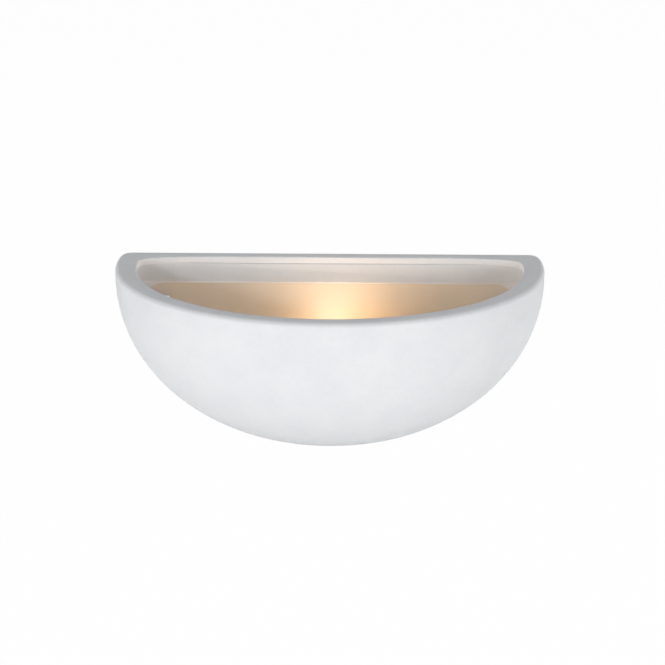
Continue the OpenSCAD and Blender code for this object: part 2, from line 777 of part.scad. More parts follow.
module bracket_rivets() color("silver") for (z = rivet_places) off_wall(rivet_x, z) {
    cylinder(r = rivet_r, h = plate_t + bracket_t + eps);
    translate([0, 0, plate_t + bracket_t]) intersection() {
        translate([0, 0, rivet_head_h - rivet_dome_r]) sphere(r = rivet_dome_r);
        cylinder(r = rivet_head_r, h = rivet_head_h + over);
    }
}

module nipple() color("silver") on_axis(nipple_start)
    tube(nipple_d / 2, nipple_bore / 2, nipple_end - nipple_start);

module nipple_washer() color("silver") on_axis(bracket_x + bracket_t)
    tube(nipple_nut_af / 2 + 0.5, nipple_d / 2 + hole_fit, nipple_washer_t);

module nipple_nut() color("silver") on_axis(nut_start)
    hex_nut(nipple_nut_af, nipple_nut_h, nipple_d / 2);

// Rear cup of the lampholder, with a shoulder that the insert seats on
module holder_base() color("white") on_axis(0) rotate_extrude()
    polygon([[nipple_d / 2 + seat_fit, base_end], [holder_d / 2 - base_edge, base_end],
        [holder_d / 2, base_end - base_edge], [holder_d / 2, joint_x],
        [bore_wall_r, joint_x], [bore_wall_r, core_end],
        [seat_r, core_end], [seat_r, core_end + shoulder_t],
        [bore_wall_r, core_end + shoulder_t], [bore_wall_r, base_in],
        [nipple_d / 2 + seat_fit, base_in]]);

// Front sleeve of the lampholder: a lip shields the lamp cap, a shoulder holds the insert
module holder_sleeve() color("white") on_axis(0) rotate_extrude() polygon([
    [mouth_r, sleeve_start], [holder_d / 2 - sleeve_edge, sleeve_start],
    [holder_d / 2, sleeve_start + sleeve_edge], [holder_d / 2, joint_x],
    [bore_wall_r, joint_x], [bore_wall_r, core_start],
    [seat_r, core_start], [seat_r, core_start - shoulder_t],
    [bore_wall_r, core_start - shoulder_t], [bore_wall_r, sleeve_start + shoulder_t],
    [mouth_r, sleeve_start + shoulder_t]]);

// Children stand on a clamp's middle and point away from the lamp's axis, up or down
module at_clamp(side) translate([clamp_mid, -lamp_y, lamp_z + side * clamp_off])
    rotate([side == 1 ? 0 : 180, 0, 0]) children();

// Ceramic insert that carries the screw shell, the centre contact and both wire clamps
module holder_core() color("whitesmoke") difference() {
    well_r = neck_r - 0.1;
    on_axis(core_start) cylinder(r = core_r, h = core_end - core_start);
    on_axis(core_start - over) cylinder(r = core_bore_r, h = shell_end - core_start + over);
    on_axis(shell_end - over) cylinder(r = well_r, h = floor_x - shell_end + over);
    on_axis(floor_x - over) cylinder(r = contact_pin_r + seat_fit, h = far);
    for (side = [-1, 1]) {
        on_axis(core_end - clamp_l) translate([-side * clamp_off, 0, 0])
            cylinder(r = clamp_r + seat_fit, h = far);
        at_clamp(side) cylinder(r = clamp_head_r + 0.2, h = far);
    }
    translate([shell_end - over, -lamp_y - strip_w / 2 - insert_fit,
        lamp_z + strip_r - insert_fit])
        cube([strip_l + 2 * over, strip_w + 2 * insert_fit, strip_t + 2 * insert_fit]);
}

module holder_screw_shell() color("gold") {
    on_axis(shell_start) difference() {
        cylinder(r = shell_out_r, h = shell_l);
        thread_rod(shell_r, shell_l + over, shell_phase);
        translate([0, 0, -over]) cylinder(r = shell_r - thread_ecc, h = 2 * over);
    }
    translate([shell_end - 0.8, -lamp_y - strip_w / 2, lamp_z + strip_r])
        cube([strip_l + 0.8, strip_w, strip_t]);
}

module holder_centre_contact() color("gold") {
    translate([tip_x + contact_gap, -lamp_y - contact_w / 2, lamp_z - contact_l / 2])
        cube([contact_t, contact_w, contact_l]);
    on_axis(floor_x - eps) cylinder(r = contact_pin_r, h = core_end - floor_x - over);
}

module holder_clamps() color("gold") for (side = [-1, 1]) difference() {
    on_axis(core_end - clamp_l) translate([-side * clamp_off, 0, 0])
        cylinder(r = clamp_r, h = clamp_l);
    on_axis(core_end - clamp_l + 1.5) translate([-side * clamp_off, 0, 0])
        cylinder(r = lead_d / 2 + insert_fit, h = far);
    at_clamp(side) cylinder(r = clamp_screw_r, h = far);
}

module holder_clamp_screws() color("gold") for (side = [-1, 1])
    at_clamp(side) translate([0, 0, lead_d / 2 + 0.2]) {
        cylinder(r = clamp_screw_r, h = 2);
        translate([0, 0, 1.6]) slotted_head(clamp_head_r, clamp_head_h);
    }

// ---- lamp ----------------------------------------------------------------------------

// Half outline of the globe and its neck, inset by t
module globe_side(t) {
    neck = neck_r - t;
    flare_r = 3;
    neck_in = 4;
    difference() {
        circle(r = globe_r - t);
        translate([-far, -far / 2]) square(far);
    }
    square([neck, cap_start + neck_in - t]);
    difference() {
        translate([0, globe_r * 0.62]) square([neck + flare_r, globe_r * 0.38]);
        translate([neck + flare_r, globe_r + flare_r / 2]) circle(r = flare_r);
    }
}

module lamp_glass() color("lightyellow") on_axis(0) rotate_extrude() difference() {
    globe_side(0);
    globe_side(glass_t);
}

module lamp_stem() color("lightcyan") {
    on_axis(stem_start) cylinder(r = stem_r, h = cap_start - stem_start + 1);
    on_axis(cap_start) cylinder(r = neck_r - glass_t - seat_fit, h = 3);
}

// Two support wires that lean in to the stem, and the filament between their ends
module lamp_filament() color("dimgray") {
    lean = (filament_l / 2 - stem_r / 2) / (stem_start - filament_x);
    for (side = [-1, 1]) on_axis(filament_x) translate([side * filament_l / 2, 0, 0])
        rotate([0, -side * atan(lean), 0])
            cylinder(r = support_r, h = (stem_start - filament_x) * sqrt(1 + lean * lean) - 0.3);
    translate([filament_x, -lamp_y, lamp_z - filament_l / 2 - 0.2])
        cylinder(r = filament_r, h = filament_l + 0.4);
}

module lamp_cap() color("silver") {
    end_t = 1;
    difference() {
        union() {
            on_axis(thread_start) thread_rod(thread_r, thread_l, 0);
            on_axis(cap_start) cylinder(r = collar_r, h = cap_l - thread_l);
        }
        on_axis(cap_start - over) cylinder(r = neck_r + seat_fit, h = cap_l - end_t + over);
        on_axis(cap_start) cylinder(r = neck_r - end_t, h = far);
    }
}

module lamp_insulator() color("dimgray") on_axis(cap_end)
    difference() {
        cylinder(r1 = neck_r - 0.6, r2 = tip_r + 0.6, h = insulator_h);
        translate([0, 0, -over]) cylinder(r = tip_pin_r + 0.2, h = far);
    }

module lamp_contact_tip() color("silver") {
    dome_r = 4;
    on_axis(cap_end + insulator_h + turn_fit) intersection() {
        cylinder(r = tip_r, h = tip_h);
        translate([0, 0, tip_h - turn_fit - dome_r]) sphere(r = dome_r);
    }
    on_axis(cap_end + 0.5) cylinder(r = tip_pin_r, h = insulator_h);
}

bowl_shell();
side_screws();
side_washers();
side_nuts();
back_plate();
cable_grommet();
terminal_block();
terminal_inserts();
terminal_screws();
block_screws();
earth_stud();
earth_washer();
earth_nut();
earth_tag();
earth_lead();
live_lead();
neutral_lead();
holder_bracket();
bracket_rivets();
nipple();
nipple_washer();
nipple_nut();
holder_base();
holder_sleeve();
holder_core();
holder_screw_shell();
holder_centre_contact();
holder_clamps();
holder_clamp_screws();
lamp_glass();
lamp_stem();
lamp_filament();
lamp_cap();
lamp_insulator();
lamp_contact_tip();
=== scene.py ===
"""Looks of the uplighter wall sconce: an unglazed ceramic half bowl, lit by a globe lamp.

Sizes in the classes are millimetres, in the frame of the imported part: +Z up, +Y into the
wall, the wall face at y = 0 and the origin midway between the two wall fixing slots.
"""

import logging
import math
from dataclasses import dataclass
from enum import Enum

import bmesh
import bpy
import numpy as np
from mathutils import Matrix, Vector


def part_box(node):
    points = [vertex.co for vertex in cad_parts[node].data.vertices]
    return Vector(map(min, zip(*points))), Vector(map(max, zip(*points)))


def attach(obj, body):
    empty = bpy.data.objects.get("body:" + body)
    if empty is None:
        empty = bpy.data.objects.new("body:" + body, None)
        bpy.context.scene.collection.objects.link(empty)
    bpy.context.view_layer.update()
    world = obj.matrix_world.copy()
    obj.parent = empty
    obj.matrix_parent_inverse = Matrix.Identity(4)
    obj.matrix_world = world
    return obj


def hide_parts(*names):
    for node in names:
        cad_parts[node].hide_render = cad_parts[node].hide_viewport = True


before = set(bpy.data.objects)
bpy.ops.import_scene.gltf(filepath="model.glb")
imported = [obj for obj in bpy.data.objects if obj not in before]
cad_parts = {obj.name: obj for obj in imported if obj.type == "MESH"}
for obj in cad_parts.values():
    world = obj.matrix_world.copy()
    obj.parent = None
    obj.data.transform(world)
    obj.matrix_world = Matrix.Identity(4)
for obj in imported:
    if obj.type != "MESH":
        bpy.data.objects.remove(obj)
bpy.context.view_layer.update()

LOG = logging.getLogger("sconce")
MM = 0.001
IMAGE_SIDE = 665                      # pixels, the photograph's frame
Points = np.ndarray
Tree = bpy.types.NodeTree
Node = bpy.types.Node
Socket = bpy.types.NodeSocket
Material = bpy.types.Material
Piece = bpy.types.Object
MADE: dict[str, Material] = {}

MATH, MIX, SPREAD = "ShaderNodeMath", "ShaderNodeMix", "ShaderNodeMapRange"
NOISE, CELLS, BUMP = "ShaderNodeTexNoise", "ShaderNodeTexVoronoi", "ShaderNodeBump"


class Body(Enum):
    """The moving bodies that the new pieces ride on."""

    BASE = "base"
    BOWL = "bowl"
    LAMP = "lamp"


# ---- materials ---------------------------------------------------------------------------


def linear(hex_colour: str) -> tuple[float, float, float, float]:
    """Turns an sRGB hex colour to linear light.

    Args:
        hex_colour: six hex digits, such as "e8e2d8".

    Returns:
        The colour's linear red, green and blue, and an alpha of 1.
    """
    parts = [int(hex_colour[i:i + 2], 16) / 255 for i in (0, 2, 4)]
    values = [c / 12.92 if c <= 0.04045 else ((c + 0.055) / 1.055) ** 2.4 for c in parts]
    return (values[0], values[1], values[2], 1.0)


def add(tree: Tree, kind: str, settings: dict | None = None,
        inputs: dict | None = None) -> Node:
    """Adds a node with its settings and links.

    Args:
        tree: the node tree.
        kind: the node's class name.
        settings: attributes of the node.
        inputs: by socket name or number, an output socket to link from or a constant.

    Returns:
        The node.
    """
    node = tree.nodes.new(kind)
    for name, value in (settings or {}).items():
        setattr(node, name, value)
    for name, value in (inputs or {}).items():
        if isinstance(value, Socket):
            tree.links.new(value, node.inputs[name])
        else:
            node.inputs[name].default_value = value
    return node


@dataclass(frozen=True)
class Pattern:
    """What a finish lays on its shader.

    Attributes:
        colour: the base colour.
        rough: 0 to 1, moves the roughness about its mean.
        height: 0 to 1, the grain that is bumped.
        under: the normal of a coarser bump below the grain.
    """

    colour: Socket
    rough: Socket
    height: Socket
    under: Socket | None = None


@dataclass(frozen=True)
class Finish:
    """A finish with fine grain: slow colour drift, grain in the gloss, and a bumped surface.

    Attributes:
        name: what the real surface is.
        slot: the record's material slot; not used.
        colour: its mean sRGB colour.
        drift_colour: the sRGB colour that it drifts to.
        drift_mm: size of the drift's patches.
        grain_mm: size of the surface grain.
        grain_depth_mm: height of the grain.
        roughness: mean roughness.
        roughness_spread: how far roughness varies over the grain.
        metallic: 1 for bare metal.
        ior: index of refraction of a non-metal.
        coat: weight of a clear layer.
    """

    name: str
    slot: str
    colour: str
    drift_colour: str
    drift_mm: float = 12.0
    grain_mm: float = 0.5
    grain_depth_mm: float = 0.02
    roughness: float = 0.5
    roughness_spread: float = 0.1
    metallic: float = 0.0
    ior: float = 1.5
    coat: float = 0.0

    def build(self) -> Material:
        """Makes the material, or finds it again if it is made.

        Returns:
            The material.
        """
        if self.name in MADE:
            return MADE[self.name]
        material = MADE[self.name] = bpy.data.materials.new(self.name)
        material.use_nodes = True
        tree = material.node_tree
        tree.nodes.clear()
        place = add(tree, "ShaderNodeTexCoord").outputs["Object"]
        pattern = self.pattern(tree, place)
        low = self.roughness - self.roughness_spread / 2
        rough = add(tree, SPREAD, inputs={"Value": pattern.rough, "To Min": low,
                                          "To Max": low + self.roughness_spread})
        grain = {"Height": pattern.height, "Distance": self.grain_depth_mm * MM,
                 "Strength": 1.0}
        if pattern.under is not None:
            grain["Normal"] = pattern.under
        inputs = {"Base Color": pattern.colour, "Metallic": self.metallic,
                  "Roughness": rough.outputs["Result"], "Coat Weight": self.coat,
                  "Normal": add(tree, BUMP, inputs=grain).outputs["Normal"]}
        if not self.metallic:
            inputs["IOR"] = self.ior
        shader = add(tree, "ShaderNodeBsdfPrincipled",
                     inputs=inputs | self.extras(tree, place))
        add(tree, "ShaderNodeOutputMaterial", inputs={"Surface": shader.outputs["BSDF"]})
        return material

    def pattern(self, tree: Tree, place: Socket) -> Pattern:
        """Clouds of the drift colour under an even grain.

        Args:
            tree: the node tree.
            place: the piece's own coordinates.

        Returns:
            The sockets to lay on the shader.
        """
        drift = self.sized(tree, NOISE, place, self.drift_mm, 3.0).outputs["Fac"]
        grain = self.sized(tree, NOISE, place, self.grain_mm, 2.0).outputs["Fac"]
        return Pattern(self.drifted(tree, drift), grain, grain)

    def extras(self, tree: Tree, place: Socket) -> dict[str, Socket | float]:
        """Further inputs of the shader by name, which only the kinds of glass have."""
        return {}

    @staticmethod
    def sized(tree: Tree, kind: str, place: Socket, size_mm: float,
              detail: float = 0.0) -> Node:
        """Adds noise or cells about size_mm across, with some octaves of finer detail."""
        return add(tree, kind, inputs={"Vector": place, "Scale": 1 / (size_mm * MM),
                                       "Detail": detail})

    def drifted(self, tree: Tree, factor: Socket, low: float = 0.3,
                high: float = 0.7) -> Socket:
        """Runs from the drift colour to the mean colour as a factor rises from low to high.

        Args:
            tree: the node tree.
            factor: what moves the colour.
            low: where it is still the drift colour.
            high: where it has become the mean colour.

        Returns:
            The colour socket.
        """
        node = add(tree, "ShaderNodeValToRGB", inputs={"Fac": factor})
        stops = ((low, self.drift_colour), (high, self.colour))
        for element, (position, colour) in zip(node.color_ramp.elements, stops):
            element.position = position
            element.color = linear(colour)
        return node.outputs["Color"]


@dataclass(frozen=True)
class Bisque(Finish):
    """Unglazed fired clay: chalky, with faint cloudy mottling, fine grit and few pinholes,
    whose colour is darkened as painted shade.
    """

    pit_mm: float = 2.6
    pit_depth_mm: float = 0.12
    pit_rim: tuple[float, float] = (0.02, 0.10)
    # Painted shade: how much the pinholes' colour is darkened at their middles
    pit_painted_shade: float = 0.12
    fleck_share: float = 0.4

    def pattern(self, tree: Tree, place: Socket) -> Pattern:
        """Cloudy colour from two noises, grit as bump, and pinholes from sparse cells, bumped
        and with painted shade darkening their colour toward their middles.

        Args:
            tree: the node tree.
            place: the piece's own coordinates.

        Returns:
            The sockets to lay on the shader.
        """
        cloud = self.sized(tree, NOISE, place, self.drift_mm, 4.0).outputs["Fac"]
        fleck = self.sized(tree, NOISE, place, self.drift_mm / 8, 3.0).outputs["Fac"]
        blend = add(tree, MATH, {"operation": "MULTIPLY_ADD"},
                    {0: fleck, 1: self.fleck_share, 2: cloud}).outputs["Value"]
        grit = self.sized(tree, NOISE, place, self.grain_mm, 3.0).outputs["Fac"]
        cells = self.sized(tree, CELLS, place, self.pit_mm)
        pit = add(tree, SPREAD, inputs={
            "Value": cells.outputs["Distance"], "From Min": self.pit_rim[0],
            "From Max": self.pit_rim[1]}).outputs["Result"]
        # Painted shade: the colour is darkened by up to 12 percent toward each pinhole's
        # middle
        shade = add(tree, MIX, {"data_type": "RGBA", "blend_type": "MULTIPLY"}, {
            "Factor": self.pit_painted_shade, "A": self.drifted(tree, blend, 0.45, 0.9), "B": pit})
        under = add(tree, BUMP, inputs={
            "Height": pit, "Distance": self.pit_depth_mm * MM, "Strength": 1.0})
        return Pattern(shade.outputs["Result"], grit, grit, under.outputs["Normal"])


@dataclass(frozen=True)
class Turned(Finish):
    """Turned, drawn or rolled metal: fine lines round the lamp's axis, which runs along X."""

    line_mm: float = 0.35
    across_per_m: float = 40.0

    def pattern(self, tree: Tree, place: Socket) -> Pattern:
        """Stretches noise across the axis, so that it reads as tool lines.

        Args:
            tree: the node tree.
            place: the piece's own coordinates.

        Returns:
            The sockets to lay on the shader.
        """
        across = add(tree, "ShaderNodeMapping", inputs={"Vector": place, "Scale": (
            1 / (self.line_mm * MM), self.across_per_m, self.across_per_m)})
        line = add(tree, NOISE, inputs={"Vector": across.outputs["Vector"], "Scale": 1.0,
                                        "Detail": 2.0}).outputs["Fac"]
        drift = self.sized(tree, NOISE, place, self.drift_mm, 3.0).outputs["Fac"]
        return Pattern(self.drifted(tree, drift), line, line)


@dataclass(frozen=True)
class ZincPlate(Finish):
    """Bright zinc or tin plate: faint angular spangle and tarnish."""

    cloud_share: float = 0.6

    def pattern(self, tree: Tree, place: Socket) -> Pattern:
        """Cells of slightly different grey, and cloudy roughness.

        Args:
            tree: the node tree.
            place: the piece's own coordinates.

        Returns:
            The sockets to lay on the shader.
        """
        cells = self.sized(tree, CELLS, place, self.drift_mm).outputs["Color"]
        cloud = self.sized(tree, NOISE, place, self.drift_mm * 2, 4.0).outputs["Fac"]
        blend = add(tree, MIX, {"data_type": "FLOAT"}, {
            "Factor": self.cloud_share, "A": cells, "B": cloud}).outputs["Result"]
        grain = self.sized(tree, NOISE, place, self.grain_mm, 2.0).outputs["Fac"]
        return Pattern(self.drifted(tree, blend, 0.25, 0.75), cloud, grain)


@dataclass(frozen=True)
class Sheath(Finish):
    """Extruded cable sheath: fine lines along it, and a second colour in two stripes."""

    stripe: str | None = None
    lines: int = 12
    stripes: int = 2

    def pattern(self, tree: Tree, place: Socket) -> Pattern:
        """Reads the lead's own UV map: U runs round it and V along it in millimetres.

        Args:
            tree: the node tree.
            place: the piece's own coordinates.

        Returns:
            The sockets to lay on the shader.
        """
        way = add(tree, "ShaderNodeUVMap", {"uv_map": "UVMap"}).outputs["UV"]
        around = add(tree, "ShaderNodeSeparateXYZ", inputs={"Vector": way}).outputs["X"]

        def waves(count: int) -> Socket:
            """A sine with this many crests round the lead."""
            turn = add(tree, MATH, {"operation": "MULTIPLY"},
                       {0: around, 1: count * 2 * math.pi}).outputs["Value"]
            return add(tree, MATH, {"operation": "SINE"}, {0: turn}).outputs["Value"]

        drift = self.sized(tree, NOISE, place, self.drift_mm, 2.0).outputs["Fac"]
        colour = self.drifted(tree, drift)
        if self.stripe:
            band = add(tree, SPREAD, inputs={
                "Value": waves(self.stripes), "From Min": 0.1, "From Max": 0.2})
            colour = add(tree, MIX, {"data_type": "RGBA"}, {
                "Factor": band.outputs["Result"], "A": colour,
                "B": linear(self.stripe)}).outputs["Result"]
        return Pattern(colour, drift, waves(self.lines))


@dataclass(frozen=True)
class OpalGlass(Finish):
    """Opal lamp glass, lit from inside: warm light, palest where the filament is nearest, and
    fading almost to nothing at the crown, the far end from the cap."""

    glow: str = "ffca8e"
    hot_glow: str = "fff5ee"
    strength: float = 5.2
    hot_strength: float = 5.0
    hot_half_width_mm: float = 8.0
    hot_x_mm: float = 1.0
    crown_from_mm: float = -24.0
    crown_to_mm: float = -6.0
    crown_share: float = 0.1

    def extras(self, tree: Tree, place: Socket) -> dict[str, Socket | float]:
        """Emission from the distance along the lamp's axis to the hot part and the crown.

        Args:
            tree: the node tree.
            place: the piece's own coordinates.

        Returns:
            The emission's colour and strength.
        """
        along = add(tree, "ShaderNodeSeparateXYZ", inputs={"Vector": place}).outputs["X"]
        off = add(tree, MATH, {"operation": "SUBTRACT"},
                  {0: along, 1: self.hot_x_mm * MM}).outputs["Value"]
        away = add(tree, MATH, {"operation": "ABSOLUTE"}, {0: off}).outputs["Value"]
        soft = {"interpolation_type": "SMOOTHSTEP"}
        hot = add(tree, SPREAD, soft, {
            "Value": away, "From Min": 0.0, "From Max": self.hot_half_width_mm * MM,
            "To Min": 1.0, "To Max": 0.0}).outputs["Result"]
        colour = add(tree, MIX, {"data_type": "RGBA"}, {
            "Factor": hot, "A": linear(self.glow), "B": linear(self.hot_glow)})
        strength = add(tree, SPREAD, inputs={
            "Value": hot, "To Min": self.strength, "To Max": self.hot_strength})
        fade = add(tree, SPREAD, soft, {
            "Value": along, "From Min": self.crown_from_mm * MM,
            "From Max": self.crown_to_mm * MM, "To Min": self.crown_share, "To Max": 1.0})
        level = add(tree, MATH, {"operation": "MULTIPLY"}, {
            0: strength.outputs["Result"], 1: fade.outputs["Result"]})
        return {"Emission Color": colour.outputs["Result"],
                "Emission Strength": level.outputs["Value"]}


@dataclass(frozen=True)
class ClearGlass(Finish):
    """Clear glass with faint drawing lines."""

    def extras(self, tree: Tree, place: Socket) -> dict[str, Socket | float]:
        """Lets all light through."""
        return {"Transmission Weight": 1.0}


# Unglazed stoneware: chalk white with cloudy patches, matt, with a grit that catches light
BISQUE = Bisque("unglazed_stoneware", "bisque_ceramic", "e3e5e7", "dee0e3", drift_mm=22.0,
                grain_mm=0.55, grain_depth_mm=0.05, roughness=0.9, roughness_spread=0.08,
                ior=1.45)
# Satin enamel on the screw heads, matched to the bowl: smooth, with a soft highlight
SATIN_ENAMEL = Finish("satin_enamel", "white_screw", "e9eaea", "dfe1e2", drift_mm=3.0,
                      grain_mm=0.4, grain_depth_mm=0.01, roughness=0.38, coat=0.2)
# Epoxy powder coat on steel: slight orange peel about half a millimetre across
POWDER_COAT = Finish("white_powder_coat", "white_plate", "ddd6ca", "d8d1c4", drift_mm=30.0,
                     grain_mm=0.7, grain_depth_mm=0.02, roughness=0.55, roughness_spread=0.12)
# Zinc plated steel: cool grey with faint spangle
ZINC = ZincPlate("bright_zinc_plate", "zinc_steel", "c9cccf", "a9adb1", drift_mm=1.6,
                 grain_mm=0.3, grain_depth_mm=0.008, roughness=0.32, roughness_spread=0.16,
                 metallic=1.0)
# Free-cutting brass, turned: yellow with fine tool lines
BRASS = Turned("turned_brass", "brass", "d9b566", "b58f45", drift_mm=4.0, line_mm=0.3,
               grain_depth_mm=0.01, roughness=0.3, roughness_spread=0.18, metallic=1.0)
# Tin plated copper: soft grey, a little dull
TINNED = ZincPlate("tin_plated_copper", "tinned_copper", "c4c1bb", "a6a29b", drift_mm=1.2,
                   grain_mm=0.3, grain_depth_mm=0.01, roughness=0.42, metallic=1.0)
# Rolled aluminium of the lamp cap: light grey, with lines round it from the rolling
CAP_ALUMINIUM = Turned("rolled_aluminium", "cap_aluminium", "d4d5d6", "b4b6b8", drift_mm=3.0,
                       line_mm=0.25, grain_depth_mm=0.008, roughness=0.34,
                       roughness_spread=0.16, metallic=1.0)
# Soft solder dome: dull, slightly dimpled
SOLDER = Finish("soft_solder", "solder", "b9babd", "97999d", drift_mm=0.8, grain_mm=0.35,
                grain_depth_mm=0.03, roughness=0.4, metallic=1.0)
# Drawn tungsten wire: dark grey with fine die lines
TUNGSTEN = Turned("drawn_tungsten", "tungsten", "8c8a88", "6f6d6b", line_mm=0.2,
                  drift_mm=1.0, grain_depth_mm=0.005, roughness=0.45, metallic=1.0)
# Vitrite, the black glass that holds the contact tip: smooth and glossy
VITRITE = Finish("moulded_vitrite", "black_vitrite", "1d1c1f", "121113", drift_mm=1.0,
                 grain_mm=0.3, grain_depth_mm=0.01, roughness=0.16, ior=1.55)
# Urea thermoset of the lampholder: moulded, faint flow marks
THERMOSET = Finish("moulded_thermoset", "white_thermoset", "e6e3da", "dcd8cd", drift_mm=7.0,
                   grain_mm=0.35, grain_depth_mm=0.012, roughness=0.42, ior=1.55)
# Glazed electrical porcelain: smooth, faint ripple
PORCELAIN = Finish("glazed_porcelain", "porcelain", "e7e4dc", "dedad0", drift_mm=5.0,
                   grain_mm=2.0, grain_depth_mm=0.03, roughness=0.14, ior=1.52, coat=0.6)
# Natural nylon of the terminal block: waxy and slightly yellow
NYLON = Finish("moulded_nylon", "natural_nylon", "e0dac6", "d3ccb5", drift_mm=6.0,
               grain_mm=0.3, grain_depth_mm=0.015, roughness=0.48, ior=1.53)
# Moulded black rubber: dull with a dusty bloom
RUBBER = Finish("moulded_rubber", "black_rubber", "26262a", "1a1a1c", drift_mm=2.5,
                grain_mm=0.3, grain_depth_mm=0.03, roughness=0.78, ior=1.52)
# Extruded PVC of the leads: satin, with fine lines along it, and stripes on the earth lead
BROWN_SHEATH = Sheath("extruded_brown_sheath", "brown_sheath", "6b4226", "5a351d",
                      drift_mm=6.0, grain_depth_mm=0.01, roughness=0.45)
BLUE_SHEATH = Sheath("extruded_blue_sheath", "blue_sheath", "2f6fb7", "265d9c",
                     drift_mm=6.0, grain_depth_mm=0.01, roughness=0.45)
EARTH_SHEATH = Sheath("extruded_striped_sheath", "green_yellow_sheath", "4d9a3a", "418531",
                      drift_mm=6.0, grain_depth_mm=0.01, roughness=0.45, stripe="e6d23a")
# Drawn clear glass of the lamp's stem: clear, with hardly a ripple
CLEAR_GLASS = ClearGlass("drawn_clear_glass", "clear_glass", "f2f7f6", "eaf1ef", drift_mm=4.0,
                         grain_mm=1.5, grain_depth_mm=0.01, roughness=0.03,
                         roughness_spread=0.02)
# Blown opal glass of the globe: milky and smooth, and it glows
OPAL_GLASS = OpalGlass("blown_opal_glass", "opal_glass", "fff6e6", "fbeed8", drift_mm=10.0,
                       grain_mm=3.0, grain_depth_mm=0.01, roughness=0.25)


# ---- meshes ------------------------------------------------------------------------------


class Patches:
    """Surfaces on grids that are welded into one mesh."""

    def __init__(self) -> None:
        """Starts empty."""
        self.points: list[Points] = []
        self.faces: list[list[int]] = []
        self.count = 0

    def grid(self, points: Points, loop_rows: bool = False, loop_cols: bool = False) -> None:
        """Adds a surface of four-sided faces.

        Args:
            points: rows by columns by 3, in millimetres.
            loop_rows: whether the last row joins the first.
            loop_cols: whether the last column joins the first.
        """
        rows, cols = points.shape[:2]
        index = np.arange(rows * cols).reshape(rows, cols) + self.count
        if loop_rows:
            index = np.vstack([index, index[:1]])
        if loop_cols:
            index = np.hstack([index, index[:, :1]])
        quads = np.stack([index[:-1, :-1], index[1:, :-1], index[1:, 1:], index[:-1, 1:]], -1)
        self.faces += quads.reshape(-1, 4).tolist()
        self.points.append(points.reshape(-1, 3))
        self.count += rows * cols

    def face(self, loop: Points) -> None:
        """Adds one flat face round a loop of points."""
        self.points.append(loop)
        self.faces.append(list(range(self.count, self.count + len(loop))))
        self.count += len(loop)

    def object(self, name: str, sharp_deg: float = 40.0) -> Piece:
        """Makes the object, with doubles merged, normals outwards and soft shading.

        Args:
            name: the object's name.
            sharp_deg: edges that turn more than this stay sharp.

        Returns:
            The new object.
        """
        mesh = bpy.data.meshes.new(name)
        mesh.from_pydata((np.vstack(self.points) * MM).tolist(), [], self.faces)
        work = bmesh.new()
        work.from_mesh(mesh)
        bmesh.ops.remove_doubles(work, verts=work.verts, dist=1e-7)
        bmesh.ops.dissolve_degenerate(work, edges=work.edges, dist=1e-8)
        bmesh.ops.recalc_face_normals(work, faces=work.faces)
        work.to_mesh(mesh)
        work.free()
        return placed(name, mesh, sharp_deg)


def smooth(piece: Piece, sharp_deg: float) -> None:
    """Shades a piece soft, apart from edges that turn more than sharp_deg."""
    piece.data.polygons.foreach_set("use_smooth", [True] * len(piece.data.polygons))
    piece.data.set_sharp_from_angle(angle=math.radians(sharp_deg))
    piece.data.update()


def placed(name: str, mesh: bpy.types.Mesh, sharp_deg: float) -> Piece:
    """Puts a mesh into the scene as an object at the origin, softly shaded."""
    piece = bpy.data.objects.new(name, mesh)
    bpy.context.scene.collection.objects.link(piece)
    smooth(piece, sharp_deg)
    return piece


def carve(piece: Piece, cutters: list[Piece], sharp_deg: float = 40.0) -> Piece:
    """Cuts solids out of a piece, and deletes them.

    Args:
        piece: the piece.
        cutters: closed solids.
        sharp_deg: edges of the result that turn more than this stay sharp.

    Returns:
        The piece, with its cut mesh in place.
    """
    for cutter in cutters:
        cut = piece.modifiers.new("cut", "BOOLEAN")
        cut.operation = "DIFFERENCE"
        cut.solver = "EXACT"
        cut.object = cutter
        graph = bpy.context.evaluated_depsgraph_get()
        mesh = bpy.data.meshes.new_from_object(piece.evaluated_get(graph))
        piece.modifiers.clear()
        old, piece.data = piece.data, mesh
        bpy.data.meshes.remove(old)
        bpy.data.objects.remove(cutter)
    smooth(piece, sharp_deg)
    return piece


def joined(pieces: list[Piece], name: str, sharp_deg: float) -> Piece:
    """Joins several objects into one, whose mesh keeps them apart.

    Args:
        pieces: the objects, which are deleted.
        name: the new object's name.
        sharp_deg: edges that turn more than this stay sharp.

    Returns:
        The new object.
    """
    work = bmesh.new()
    for piece in pieces:
        work.from_mesh(piece.data)
    mesh = bpy.data.meshes.new(name)
    work.to_mesh(mesh)
    work.free()
    for piece in pieces:
        bpy.data.objects.remove(piece)
    return placed(name, mesh, sharp_deg)


def unit(rows: Points) -> Points:
    """Each row divided by its own length."""
    return rows / np.linalg.norm(rows, axis=1, keepdims=True)


def travelled(line: Points) -> Points:
    """The length of the line from its start to each of its points."""
    return np.concatenate([[0], np.cumsum(np.linalg.norm(np.diff(line, axis=0), axis=1))])


def outward(loop: Points) -> Points:
    """Unit normals of a closed plan outline, away from its middle.

    Each is square to the chord between the two neighbours of its point.

    Args:
        loop: points by 2.

    Returns:
        Normals by 2.
    """
    ahead = np.roll(loop, -1, 0) - np.roll(loop, 1, 0)
    normal = unit(np.stack([-ahead[:, 1], ahead[:, 0]], -1))
    return normal * np.sign(((loop - loop.mean(0)) * normal).sum(1, keepdims=True))


def arc(centre: tuple[float, float], radius: float, start_deg: float, end_deg: float,
        count: int) -> Points:
    """Points at equal angles along a circle's arc in a plane, both ends included."""
    turn = np.radians(np.linspace(start_deg, end_deg, count))
    return np.stack([centre[0] + radius * np.cos(turn), centre[1] + radius * np.sin(turn)], -1)


def rectangle(left: float, right: float, low: float, high: float) -> Points:
    """The four corners of a rectangle in a plane."""
    return np.array([[left, low], [right, low], [right, high], [left, high]])


